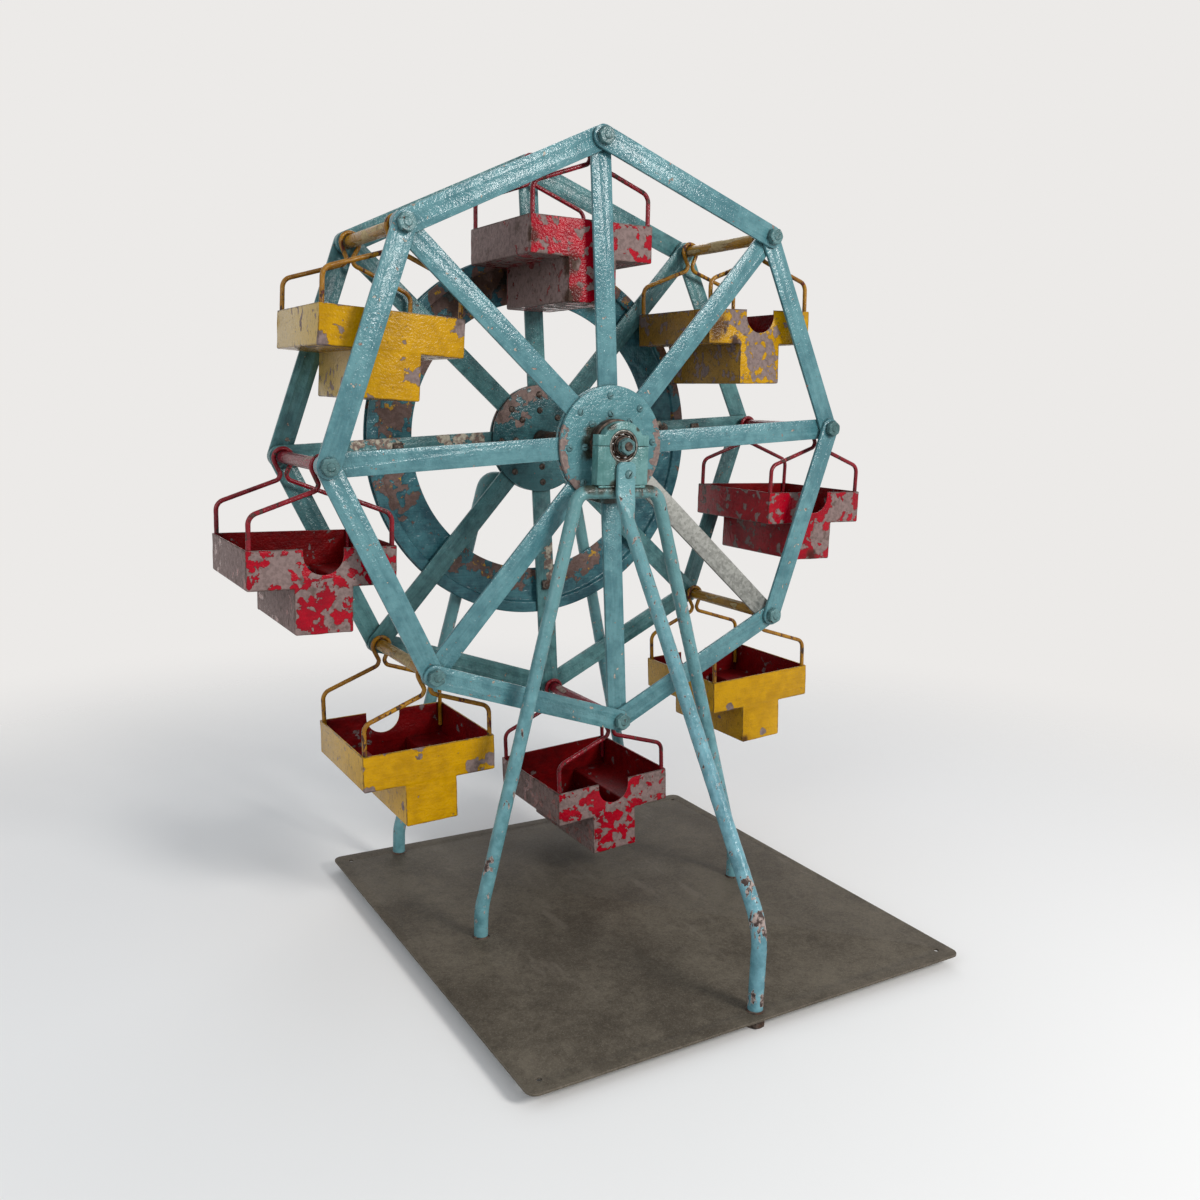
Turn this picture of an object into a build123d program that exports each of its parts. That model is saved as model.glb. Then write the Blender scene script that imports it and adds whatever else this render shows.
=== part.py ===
from build123d import *
import math
import os

# Crank ferris wheel toy: two eight-sided wheels of flat bar on one axle, eight hanging
# gondolas between them, and a bent-rod stand on a sheet steel base plate.
# Millimetres, +Z up. The axle lies along Y and the front of the toy faces -Y.
# Origin: on the table, straight under the axle, midway between the plate's front and back edges.

# ---------------------------------------------------------------- driving dimensions
RUNNING_FIT = 0.05  # radial clearance where one piece turns in or on another
SLIP_FIT = 0.1  # radial clearance of a bolt or rod in its hole
SEAT_GAP = 0.15  # between a bent rod and the piece that it is welded to
# Rounds are drawn with flats and bends with short straights, to keep a toy of many small pieces light.
FLAT_RATE = 0.8  # flats of a round, in fours, per square root of its diameter
BEND_STEP = 30.0  # degrees that a bend turns from one short straight to the next

# base plate
PLATE_WIDTH = 407.0
PLATE_DEPTH = 419.0
PLATE_THICK = 2.0
PLATE_CORNER_R = 8.0
PLATE_SHIFT_X = 8.2  # the stand isn't quite in the middle of its plate
CORNER_HOLE_D = 4.5
CORNER_HOLE_INSET = 14.0

# stand: bent round rod on threaded feet
ROD_D = 12.0
FOOT_STUD_D = 8.0
STUD_RECESS = 1.0  # studs stop this far above the table
FOOT_NUT_AF = 14.0
FOOT_NUT_H = 10.0
SIDE_FOOT_INSET = 62.3  # from the plate's nearer side to the feet of the frames
BACK_FOOT_INSET = 15.0  # from the plate's back edge to the rear feet
BRACE_FOOT_INSET = 13.0
FRONT_FOOT_Y = 1.0
FRAME_KNEE_RISE = 24.0  # straight foot below the leg's bend, above the plate
BRACE_KNEE_RISE = 66.0
KNEE_BEND_R = 55.0
TOP_BEND_R = 13.0
FRONT_TOP_HALF = 40.0  # half the level top of each frame
REAR_TOP_HALF = 48.0
STRAP_WIDTH = 18.0  # the brace's flattened top
STRAP_THICK = 5.0
STRAP_X = 1.5
STRAP_LENGTH = 26.0
STRAP_NECK = 24.0  # the stretch over which round rod turns into flat strap

# bearings and their split blocks
AXLE_HEIGHT = 421.4
BLOCK_WIDTH = 50.8
BLOCK_THICK = 10.0
BLOCK_DROP = 33.0  # axle centre to the underside of the block
BLOCK_SHOULDER = 9.5
BLOCK_ARCH_R = 21.0
SPLIT_GAP = 0.3
BEARING_OD = 28.0
BEARING_BORE = 12.0
BEARING_WIDTH = 8.0
RACE_WALL = 1.8
BALL_COUNT = 9
FRONT_BLOCK_Y = 16.0  # front face of the front block

# axle
SLEEVE_D = 15.0  # axle between the bearings
AXLE_THREAD_D = 8.0
AXLE_NUT_AF = 13.0
AXLE_NUT_H = 6.5
AXLE_WASHER_D = 16.0
AXLE_WASHER_T = 1.2
AXLE_END = 1.3  # thread past the nut

# wheels
NODE_COUNT = 8
WHEEL_R = 250.0
WHEEL_TURN = 4.4  # degrees that the wheel stands past upright
BAR_WIDTH = 19.0
BAR_THICK = 3.0
DISC_D = 101.6
DISC_THICK = 3.0
SPOKE_START_R = 24.5
BOSS_D = 45.0
BOSS_GAP = 1.0  # between a hub boss and its bearing block
FRONT_BARS_Y = 33.0  # front face of the outermost bars of the front wheel
WHEEL_GAP = 128.0  # between the spokes of the two wheels

# cross rods that carry the gondolas
TIE_ROD_D = 7.0
TUBE_D = 10.5
NODE_NUT_AF = 13.0
NODE_NUT_H = 5.5
TIE_ROD_END = 1.0

# drive rim behind the rear spokes
RIM_OD = 344.0
RIM_ID = 256.0
RIM_WEB_T = 2.0
RIM_WIDTH = 11.0
RIM_WALL = 2.0
RIM_GROOVE = 9.0
RIM_WEB_SETBACK = 4.5
RIM_GAP = 0.3
RIM_SPACER_D = 9.0

# gondolas
TRAY_WIDTH = 118.4
TRAY_HEIGHT = 31.0
WELL_WIDTH = 46.4
WELL_HEIGHT = 36.7
GONDOLA_LENGTH = 117.3
GONDOLA_Y = 48.6  # front face of the front end plate
TRAY_DROP = 63.3  # cross rod centre to the rim of the tray
SHEET = 1.2
NOTCH_R = 16.0
NOTCH_DEPTH = 21.0
WIRE_D = 4.0
LOOP_ID = 12.0
NECK_LEAN = 25.0  # lean of the loop's sides as they run into the neck
NECK_HALF = 2.4  # wire centre to the middle at the neck
NECK_LENGTH = 5.0
ARM_SLOPE = 20.0
ARM_BEND_R = 9.0
LOOP_BEND_COUNT = 6  # short bends round the loop
LEG_IN_TRAY = 22.0
LEANS = [1.0, 2.6, 0.0, 3.6, 3.8, 2.2, 0.0, -2.1]  # degrees each gondola hangs off level

# ---------------------------------------------------------------- derived places
PLATE_TOP = FOOT_NUT_H + PLATE_THICK
FOOT_HALF_SPAN = PLATE_WIDTH / 2 - PLATE_SHIFT_X - SIDE_FOOT_INSET
REAR_FOOT_Y = PLATE_DEPTH / 2 - BACK_FOOT_INSET
BRACE_FOOT_Y = BRACE_FOOT_INSET - PLATE_DEPTH / 2
ROD_R = ROD_D / 2
TOP_Z = AXLE_HEIGHT - BLOCK_DROP - SEAT_GAP - ROD_R

EVEN_BARS_Y = FRONT_BARS_Y + BAR_THICK
FRONT_SPOKES_Y = EVEN_BARS_Y + BAR_THICK
TUBE_START_Y = FRONT_SPOKES_Y + BAR_THICK
TUBE_END_Y = TUBE_START_Y + WHEEL_GAP
REAR_SPOKES_Y = TUBE_END_Y
REAR_EVEN_BARS_Y = REAR_SPOKES_Y + BAR_THICK
REAR_ODD_BARS_Y = REAR_EVEN_BARS_Y + BAR_THICK
REAR_BARS_END_Y = REAR_ODD_BARS_Y + BAR_THICK

FRONT_BLOCK_END_Y = FRONT_BLOCK_Y + BLOCK_THICK
FRONT_DISC_Y = FRONT_SPOKES_Y - DISC_THICK
REAR_DISC_END_Y = REAR_SPOKES_Y + BAR_THICK + DISC_THICK
BOSS_THICK = FRONT_DISC_Y - BOSS_GAP - FRONT_BLOCK_END_Y
REAR_BLOCK_Y = REAR_DISC_END_Y + BOSS_THICK + BOSS_GAP
REAR_BLOCK_END_Y = REAR_BLOCK_Y + BLOCK_THICK
FRONT_TOP_Y = FRONT_BLOCK_Y + SEAT_GAP + ROD_R
REAR_TOP_Y = REAR_BLOCK_END_Y - SEAT_GAP - ROD_R
FRONT_SEAT_Y = FRONT_BLOCK_Y + BEARING_WIDTH
REAR_SEAT_Y = REAR_BLOCK_END_Y - BEARING_WIDTH

RIM_FRONT_Y = REAR_SPOKES_Y + BAR_THICK + RIM_GAP
RIM_WEB_Y = RIM_FRONT_Y + RIM_WEB_SETBACK
GROOVE_D = RIM_OD - 2 * RIM_GROOVE  # across the floor of the drive rim's channel
RIM_SPACER_R = (GROOVE_D - 2 * RIM_WALL + RIM_ID) / 4  # half way across the web

WELL_DROP = TRAY_DROP + TRAY_HEIGHT
GONDOLA_END_Y = GONDOLA_Y + GONDOLA_LENGTH
HANGER_INSET = SHEET + WIRE_D / 2
HANGER_HALF = TRAY_WIDTH / 2 - HANGER_INSET
LOOP_DROP = (LOOP_ID - TUBE_D) / 2 - RUNNING_FIT  # the loop rests on top of its tube


# ---------------------------------------------------------------- helpers
def facing(y):
    """Plane across the axle at y: drawn X is X, drawn Y is Z, and it faces the front."""
    return Plane(origin=(0, y, 0), x_dir=(1, 0, 0), z_dir=(0, -1, 0))


def slab(outline, y, thick):
    """A flat piece with this front view, from y back to y + thick."""
    return extrude(facing(y + thick) * outline, thick)


def rounded(diameter, within=False):
    """A round drawn with flats, more of them the larger it is, with flats facing its axes.

    The flats lie on the circle, or within it on a piece that turns inside another.
    """
    flats = 4 * round(FLAT_RATE * math.sqrt(diameter))
    return RegularPolygon(diameter / 2, flats, major_radius=within, rotation=180 / flats)


def turned(diameter, y, length, bore=0.0, within=False):
    """A round piece on the axle's line, from y back to y + length."""
    outline = rounded(diameter, within)
    if bore:
        outline -= rounded(bore)
    return Pos(0, 0, AXLE_HEIGHT) * slab(outline, y, length)


def hexagon(across_flats, turn=0.0):
    return RegularPolygon(across_flats / 2, 6, major_radius=False, rotation=turn)


def node_angle(node):
    """Direction of a node from the axle; node 1 is at the top and they run clockwise."""
    return 90.0 - (node - 1) * 360.0 / NODE_COUNT + WHEEL_TURN


def polar(radius, angle):
    return (radius * math.cos(math.radians(angle)), radius * math.sin(math.radians(angle)))


def on_wheel(shape, radius, node):
    """Moves a shape drawn about the origin out along a node's direction."""
    x, z = polar(radius, node_angle(node))
    return Pos(x, 0, AXLE_HEIGHT + z) * shape


def every_node(nodes, radius, shape):
    return [on_wheel(shape, radius, node) for node in nodes]


def bent(points, radii):
    """A line through points, each inner corner eased with short straights round an arc."""
    points = [Vector(*point) for point in points]
    line = [points[0]]
    for before, corner, after, radius in zip(points, points[1:], points[2:], radii):
        into = (corner - before).normalized()
        out = (after - corner).normalized()
        turn = math.radians(into.get_angle(out))
        bends = max(1, round(math.degrees(turn) / BEND_STEP))
        half_step = radius * math.tan(turn / 2 / bends)
        place = corner - into * (radius * math.tan(turn / 2)) + into * half_step
        line.append(place)
        for bend in range(1, bends):
            along = into * math.sin((1 - bend / bends) * turn) + out * math.sin(bend / bends * turn)
            place += along.normalized() * (2 * half_step)
            line.append(place)
    return line + [points[-1]]


def swept_rod(points, diameter):
    """A round rod or wire along a line of points, mitred at each."""
    path = Polyline(points)
    start = Plane(path @ 0, x_dir=(0, 1, 0), z_dir=path % 0)
    return sweep(start * rounded(diameter), path=path, transition=Transition.RIGHT)


ALL_NODES = range(1, NODE_COUNT + 1)
ODD_NODES = range(1, NODE_COUNT + 1, 2)
EVEN_NODES = range(2, NODE_COUNT + 1, 2)


# ---------------------------------------------------------------- stand
def foot_places():
    left_right = (-FOOT_HALF_SPAN, FOOT_HALF_SPAN)
    frames = [(x, y) for y in (FRONT_FOOT_Y, REAR_FOOT_Y) for x in left_right]
    return frames + [(STRAP_X, BRACE_FOOT_Y)]


def base_plate():
    outline = Pos(PLATE_SHIFT_X, 0) * RectangleRounded(PLATE_WIDTH, PLATE_DEPTH, PLATE_CORNER_R)
    spans = (PLATE_WIDTH - 2 * CORNER_HOLE_INSET, PLATE_DEPTH - 2 * CORNER_HOLE_INSET)
    corners = GridLocations(spans[0], spans[1], 2, 2)
    outline -= Pos(PLATE_SHIFT_X, 0) * corners * Circle(CORNER_HOLE_D / 2)
    for x, y in foot_places():
        outline -= Pos(x, y) * rounded(FOOT_STUD_D + 2 * SLIP_FIT)
    return Pos(0, 0, FOOT_NUT_H) * extrude(outline, PLATE_THICK)


def foot_studs(places):
    stud = extrude(rounded(FOOT_STUD_D), PLATE_TOP - STUD_RECESS)
    return [Pos(x, y, STUD_RECESS) * stud for x, y in places]


def foot_nuts():
    outline = hexagon(FOOT_NUT_AF) - rounded(FOOT_STUD_D)
    nut = extrude(outline, FOOT_NUT_H)
    return [Pos(x, y) * nut for x, y in foot_places()]


def frame(foot_y, top_y, top_half):
    """One rod bent into an A: foot, knee, leg, level top and down again."""
    knee_z = PLATE_TOP + FRAME_KNEE_RISE
    left = [
        (-FOOT_HALF_SPAN, foot_y, PLATE_TOP),
        (-FOOT_HALF_SPAN, foot_y, knee_z),
        (-top_half, top_y, TOP_Z),
    ]
    right = [(-x, y, z) for x, y, z in reversed(left)]
    radii = [KNEE_BEND_R, TOP_BEND_R, TOP_BEND_R, KNEE_BEND_R]
    rod = swept_rod(bent(left + right, radii), ROD_D)
    for stud in foot_studs([(-FOOT_HALF_SPAN, foot_y), (FOOT_HALF_SPAN, foot_y)]):
        rod += stud
    return rod


def brace():
    """The third front leg, its top hammered flat and screwed to the front block."""
    strap_y = FRONT_BLOCK_Y - STRAP_THICK / 2
    strap_top = AXLE_HEIGHT - BEARING_OD / 2 + 1
    strap_end = strap_top - STRAP_LENGTH
    knee_z = PLATE_TOP + BRACE_KNEE_RISE
    foot = (STRAP_X, BRACE_FOOT_Y, PLATE_TOP)
    knee = (STRAP_X, BRACE_FOOT_Y, knee_z)
    neck = (STRAP_X, strap_y - ROD_R, strap_end - STRAP_NECK)
    rod = swept_rod(bent([foot, knee, neck], [KNEE_BEND_R]), ROD_D)
    for stud in foot_studs([(STRAP_X, BRACE_FOOT_Y)]):
        rod += stud
    slope = Vector(*neck) - Vector(*knee)
    end = Plane(neck, x_dir=(1, 0, 0), z_dir=slope)
    flat = Plane((STRAP_X, strap_y, strap_end))
    taper = loft([end * rounded(ROD_D), flat * Rectangle(STRAP_WIDTH, STRAP_THICK)])
    strap = extrude(flat * Rectangle(STRAP_WIDTH, STRAP_THICK), STRAP_LENGTH)
    return rod + taper + strap


def block_outline():
    body = Pos(0, (BLOCK_SHOULDER - BLOCK_DROP) / 2) * Rectangle(
        BLOCK_WIDTH, BLOCK_SHOULDER + BLOCK_DROP
    )
    return body + rounded(2 * BLOCK_ARCH_R)


def bearing_block(y, seat_y, upper):
    """Half of a bearing block, split level with the axle."""
    block = Pos(0, 0, AXLE_HEIGHT) * slab(block_outline(), y, BLOCK_THICK)
    block -= turned(BEARING_OD, seat_y, BEARING_WIDTH)
    block -= turned(BEARING_OD - 2 * RACE_WALL, y, BLOCK_THICK)
    half = Box(2 * BLOCK_WIDTH, 10 * BLOCK_THICK, 2 * BLOCK_WIDTH)
    shift = BLOCK_WIDTH + SPLIT_GAP / 2
    side = 1 if upper else -1
    return block & Pos(0, y, AXLE_HEIGHT + side * shift) * half


def block_halves(upper):
    front = bearing_block(FRONT_BLOCK_Y, FRONT_BLOCK_Y, upper)
    return [front, bearing_block(REAR_BLOCK_Y, REAR_SEAT_Y, upper)]


def outer_race(y):
    return turned(BEARING_OD, y, BEARING_WIDTH, BEARING_OD - 2 * RACE_WALL)


def inner_race(y):
    return turned(BEARING_BORE + 2 * RACE_WALL, y, BEARING_WIDTH, BEARING_BORE, within=True)


# ---------------------------------------------------------------- wheel
def balls(y):
    """Balls that just clear both races, each a cube with its edges cut back to a ball's width."""
    pitch = (BEARING_OD + BEARING_BORE) / 4
    ball_d = (BEARING_OD - BEARING_BORE) / 2 - 2 * RACE_WALL - 2 * RUNNING_FIT
    cube = Box(ball_d, ball_d, ball_d)
    ball = chamfer(cube.edges(), ball_d * (1 - math.sqrt(0.5)))
    middle = y + BEARING_WIDTH / 2
    row = Pos(0, middle, AXLE_HEIGHT) * Rot(90, 0, 0) * PolarLocations(pitch, BALL_COUNT)
    return [place * ball for place in row]


def axle():
    grip = AXLE_WASHER_T + AXLE_NUT_H + AXLE_END
    sleeve = turned(SLEEVE_D, FRONT_SEAT_Y, REAR_SEAT_Y - FRONT_SEAT_Y)
    seats = turned(BEARING_BORE, FRONT_BLOCK_Y, REAR_BLOCK_END_Y - FRONT_BLOCK_Y)
    length = REAR_BLOCK_END_Y - FRONT_BLOCK_Y + 2 * grip
    stud = Pos(0, 0, AXLE_HEIGHT) * slab(rounded(AXLE_THREAD_D), FRONT_BLOCK_Y - grip, length)
    return stud + seats + sleeve


def axle_nuts():
    outline = hexagon(AXLE_NUT_AF, 30) - rounded(AXLE_THREAD_D)
    nut = Pos(0, 0, AXLE_HEIGHT) * slab(outline, 0, AXLE_NUT_H)
    front = Pos(0, FRONT_BLOCK_Y - AXLE_WASHER_T - AXLE_NUT_H, 0) * nut
    rear = Pos(0, REAR_BLOCK_END_Y + AXLE_WASHER_T, 0) * nut
    return [front, rear]


def axle_washers():
    outline = rounded(AXLE_WASHER_D) - rounded(AXLE_THREAD_D)
    washer = Pos(0, 0, AXLE_HEIGHT) * slab(outline, 0, AXLE_WASHER_T)
    front = Pos(0, FRONT_BLOCK_Y - AXLE_WASHER_T, 0) * washer
    rear = Pos(0, REAR_BLOCK_END_Y, 0) * washer
    return [front, rear]


def hub_disc(y):
    return turned(DISC_D, y, DISC_THICK, SLEEVE_D)


def hub_bosses():
    front = turned(BOSS_D, FRONT_BLOCK_END_Y + BOSS_GAP, BOSS_THICK, SLEEVE_D)
    rear = turned(BOSS_D, REAR_DISC_END_Y, BOSS_THICK, SLEEVE_D)
    return [front, rear]


def rod_hole():
    return rounded(TIE_ROD_D + 2 * SLIP_FIT)


def spoke(node, y):
    """A bar from the hub to a node, square at the hub and round past the cross rod."""
    outline = Pos((WHEEL_R + SPOKE_START_R) / 2, 0) * Rectangle(WHEEL_R - SPOKE_START_R, BAR_WIDTH)
    outline += Pos(WHEEL_R, 0) * rounded(BAR_WIDTH)
    outline = Rot(0, 0, node_angle(node)) * outline
    x, z = polar(WHEEL_R, node_angle(node))
    outline -= Pos(x, z) * rod_hole()
    return Pos(0, 0, AXLE_HEIGHT) * slab(outline, y, BAR_THICK)


def rim_bar(node, y):
    """A round-ended bar from a node to the next one."""
    half = WHEEL_R * math.sin(math.radians(180.0 / NODE_COUNT))
    outline = Rectangle(2 * half, BAR_WIDTH)
    for end in (-half, half):
        outline += Pos(end, 0) * rounded(BAR_WIDTH)
    middle = node_angle(node + 0.5)
    x, z = polar(math.sqrt(WHEEL_R**2 - half**2), middle)
    outline = Pos(x, z) * Rot(0, 0, middle + 90) * outline
    for each in (node, node + 1):
        x, z = polar(WHEEL_R, node_angle(each))
        outline -= Pos(x, z) * rod_hole()
    return Pos(0, 0, AXLE_HEIGHT) * slab(outline, y, BAR_THICK)


def rim_bars(odd_y, even_y):
    return [rim_bar(node, odd_y if node in ODD_NODES else even_y) for node in ALL_NODES]


def cross_tubes(nodes):
    outline = rounded(TUBE_D, within=True) - rod_hole()
    return every_node(nodes, WHEEL_R, slab(outline, TUBE_START_Y, WHEEL_GAP))


def tie_rods():
    start = FRONT_BARS_Y - NODE_NUT_H - TIE_ROD_END
    length = REAR_BARS_END_Y + NODE_NUT_H + TIE_ROD_END - start
    return every_node(ALL_NODES, WHEEL_R, slab(rounded(TIE_ROD_D), start, length))


def node_nuts(y):
    outline = hexagon(NODE_NUT_AF, 15) - rounded(TIE_ROD_D)
    return every_node(ALL_NODES, WHEEL_R, slab(outline, y, NODE_NUT_H))




def drive_rim():
    """A pulley rim: a flat web, and round it a channel with two flanges."""
    web = turned(GROOVE_D, RIM_WEB_Y, RIM_WEB_T, RIM_ID)
    floor = turned(GROOVE_D, RIM_FRONT_Y, RIM_WIDTH, GROOVE_D - 2 * RIM_WALL)
    front_flange = turned(RIM_OD, RIM_FRONT_Y, RIM_WALL, GROOVE_D)
    rear_flange = turned(RIM_OD, RIM_FRONT_Y + RIM_WIDTH - RIM_WALL, RIM_WALL, GROOVE_D)
    return web + floor + front_flange + rear_flange


def rim_spacers():
    """Distance pieces between the odd rear spokes and the rim's web."""
    start = REAR_SPOKES_Y + BAR_THICK
    spacer = slab(rounded(RIM_SPACER_D), start, RIM_WEB_Y - start)
    return every_node(ODD_NODES, RIM_SPACER_R, spacer)


# ---------------------------------------------------------------- gondolas
def gondola_outline():
    """Front view of the T-shaped end plates, about the cross rod's centre."""
    tray = Pos(0, -TRAY_DROP - TRAY_HEIGHT / 2) * Rectangle(TRAY_WIDTH, TRAY_HEIGHT)
    well = Pos(0, -WELL_DROP - WELL_HEIGHT / 2) * Rectangle(WELL_WIDTH, WELL_HEIGHT)
    return tray + well


def end_plates(notch_at_front):
    plain = gondola_outline()
    lift = NOTCH_R - NOTCH_DEPTH
    notch = Pos(0, -TRAY_DROP + lift) * rounded(2 * NOTCH_R)
    notch += Pos(0, -TRAY_DROP + lift + NOTCH_R) * Rectangle(2 * NOTCH_R, 2 * NOTCH_R)
    notched = plain - notch
    front, rear = (notched, plain) if notch_at_front else (plain, notched)
    return [slab(front, GONDOLA_Y, SHEET), slab(rear, GONDOLA_END_Y - SHEET, SHEET)]


def tub():
    """One folded sheet: side, seat, footwell, seat and side."""
    half = TRAY_WIDTH / 2
    well = WELL_WIDTH / 2
    line = Polyline(
        (-half + SHEET / 2, -TRAY_DROP),
        (-half + SHEET / 2, -WELL_DROP + SHEET / 2),
        (-well + SHEET / 2, -WELL_DROP + SHEET / 2),
        (-well + SHEET / 2, -WELL_DROP - WELL_HEIGHT + SHEET / 2),
        (well - SHEET / 2, -WELL_DROP - WELL_HEIGHT + SHEET / 2),
        (well - SHEET / 2, -WELL_DROP + SHEET / 2),
        (half - SHEET / 2, -WELL_DROP + SHEET / 2),
        (half - SHEET / 2, -TRAY_DROP),
    )
    fold = trace(line, SHEET)
    return slab(fold, GONDOLA_Y + SHEET, GONDOLA_LENGTH - 2 * SHEET)


def hanger_half():
    """Points down half a hanger: round the loop, in to the neck, along the arm and down."""
    bend = (180 + 2 * NECK_LEAN) / LOOP_BEND_COUNT
    loop_r = (LOOP_ID + WIRE_D) / 2
    loop = []
    for i in range(LOOP_BEND_COUNT // 2):
        x, z = polar(loop_r / math.cos(math.radians(bend / 2)), 90 - (i + 0.5) * bend)
        loop.append((x, z - LOOP_DROP))
    # the loop's last side runs straight on to the neck
    lean = math.radians(NECK_LEAN)
    side_x, side_z = polar(loop_r, -NECK_LEAN)
    neck_z = side_z - LOOP_DROP - (side_x - NECK_HALF) / math.tan(lean)
    flare = math.radians((90 - ARM_SLOPE - NECK_LEAN) / 2)
    arm_x = NECK_HALF + NECK_LENGTH * math.sin(flare)
    arm_z = neck_z - NECK_LENGTH * math.cos(flare)
    corner_z = arm_z - (HANGER_HALF - arm_x) * math.tan(math.radians(ARM_SLOPE))
    leg_end = (HANGER_HALF, -TRAY_DROP - LEG_IN_TRAY)
    arm = bent([(arm_x, arm_z), (HANGER_HALF, corner_z), leg_end], [ARM_BEND_R])
    return loop + [(NECK_HALF, neck_z)] + [(point.X, point.Y) for point in arm]


def hanger(y):
    """Bent wire: a loop round the cross rod, a neck, sloping arms and a leg to each side."""
    right = hanger_half()
    left = [(-x, z) for x, z in reversed(right)]
    return swept_rod([(x, y, z) for x, z in left + right], WIRE_D)


def hangers():
    front = GONDOLA_Y + HANGER_INSET
    rear = GONDOLA_END_Y - HANGER_INSET
    return [hanger(front), hanger(rear)]


def hung(node, shapes):
    """Hangs shapes drawn about a cross rod's centre from a node, with that gondola's lean."""
    lean = Rot(0, -LEANS[node - 1], 0)
    return [on_wheel(lean * shape, WHEEL_R, node) for shape in shapes]


# ---------------------------------------------------------------- parts
NOTCH_AT_FRONT = (2, 3, 5, 7)
BARE_SPOKE = 4

PARTS = {
    "base_plate": [base_plate()],
    "front_frame": [frame(FRONT_FOOT_Y, FRONT_TOP_Y, FRONT_TOP_HALF)],
    "rear_frame": [frame(REAR_FOOT_Y, REAR_TOP_Y, REAR_TOP_HALF)],
    "front_brace": [brace()],
    "foot_nuts": foot_nuts(),
    "bearing_blocks": block_halves(False),
    "bearing_caps": block_halves(True),
    "bearing_outer_races": [outer_race(FRONT_BLOCK_Y), outer_race(REAR_SEAT_Y)],
    "bearing_inner_races": [inner_race(FRONT_BLOCK_Y), inner_race(REAR_SEAT_Y)],
    "bearing_balls": balls(FRONT_BLOCK_Y) + balls(REAR_SEAT_Y),
    "axle": [axle()],
    "axle_nuts": axle_nuts(),
    "axle_washers": axle_washers(),
    "front_hub_discs": [hub_disc(FRONT_DISC_Y), hub_disc(TUBE_START_Y)],
    "rear_hub_discs": [hub_disc(REAR_SPOKES_Y - DISC_THICK), hub_disc(REAR_SPOKES_Y + BAR_THICK)],
    "hub_bosses": hub_bosses(),
    "front_spokes": [spoke(n, FRONT_SPOKES_Y) for n in ALL_NODES if n != BARE_SPOKE],
    "bare_spoke": [spoke(BARE_SPOKE, FRONT_SPOKES_Y)],
    "rear_spokes": [spoke(n, REAR_SPOKES_Y) for n in ALL_NODES],
    "front_rim_bars": rim_bars(FRONT_BARS_Y, EVEN_BARS_Y),
    "rear_rim_bars": rim_bars(REAR_ODD_BARS_Y, REAR_EVEN_BARS_Y),
    "red_cross_tubes": cross_tubes(ODD_NODES),
    "yellow_cross_tubes": cross_tubes(EVEN_NODES),
    "tie_rods": tie_rods(),
    "front_node_nuts": node_nuts(FRONT_BARS_Y - NODE_NUT_H),
    "rear_node_nuts": node_nuts(REAR_BARS_END_Y),
    "drive_rim": [drive_rim()],
    "drive_rim_spacers": rim_spacers(),
}
TUB = tub()
HANGERS = hangers()
for node in ALL_NODES:
    PARTS[f"gondola_{node}_tub"] = hung(node, [TUB])
    PARTS[f"gondola_{node}_end_plates"] = hung(node, end_plates(node in NOTCH_AT_FRONT))
    PARTS[f"gondola_{node}_hangers"] = hung(node, HANGERS)

os.makedirs("parts", exist_ok=True)
for name, solids in PARTS.items():
    whole = solids[0] if len(solids) == 1 else Compound(children=solids)
    export_step(whole, f"parts/{name}.step")
print(len(PARTS), "nodes")
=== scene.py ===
# %% [markdown]
# # A ferris wheel toy, dressed in Blender
#
# The toy is a home-made one: two eight-sided wheels of flat steel bar, eight sheet-metal gondolas
# hung between them on bent wire, and a stand of bent round rod on a steel plate. Somebody painted
# it by hand, thickly, and years of play have knocked the paint off down to the primer.
#
# The construction already exists as a packed model with joints. This lesson puts the looks on it:
# every piece is drawn again at the same size and place, but smooth, with eased edges, screws,
# nuts and welds, and every piece gets a finish made of shader nodes.

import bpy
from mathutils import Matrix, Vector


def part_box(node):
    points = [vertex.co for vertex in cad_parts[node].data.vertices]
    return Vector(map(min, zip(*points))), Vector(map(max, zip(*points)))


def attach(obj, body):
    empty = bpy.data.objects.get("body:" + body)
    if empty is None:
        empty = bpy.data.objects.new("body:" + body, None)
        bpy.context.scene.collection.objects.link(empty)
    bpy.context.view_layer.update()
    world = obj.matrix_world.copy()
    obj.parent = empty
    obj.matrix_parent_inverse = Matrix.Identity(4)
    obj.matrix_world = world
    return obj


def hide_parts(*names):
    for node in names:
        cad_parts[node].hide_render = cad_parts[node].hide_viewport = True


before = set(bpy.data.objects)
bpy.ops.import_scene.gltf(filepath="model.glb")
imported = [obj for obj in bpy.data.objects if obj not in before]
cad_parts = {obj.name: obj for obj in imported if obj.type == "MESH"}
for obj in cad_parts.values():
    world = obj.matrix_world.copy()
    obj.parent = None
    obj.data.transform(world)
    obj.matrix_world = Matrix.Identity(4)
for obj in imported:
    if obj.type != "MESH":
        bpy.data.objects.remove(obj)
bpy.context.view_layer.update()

# %% Tools of this lesson
import math

import bmesh
import bpy
from mathutils import Matrix, Vector, noise
from mathutils.geometry import tessellate_polygon

scene = bpy.context.scene
MM = 0.001  # shapes are drawn in millimetres and become metres when they turn into meshes
print("a millimetre is", MM, "of Blender's units")

# %% [markdown]
# ## Sizes
#
# Where a piece lies is read off the packed model: `low` and `high` give the corners of a node's
# box in millimetres. Only the sizes that a box can't tell are written down here, and everything
# else is worked out from the two. If the toy's construction moves, its looks move with it.

# %% Sizes and places, in millimetres
def low(node):
    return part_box(node)[0] / MM


def high(node):
    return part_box(node)[1] / MM


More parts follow.
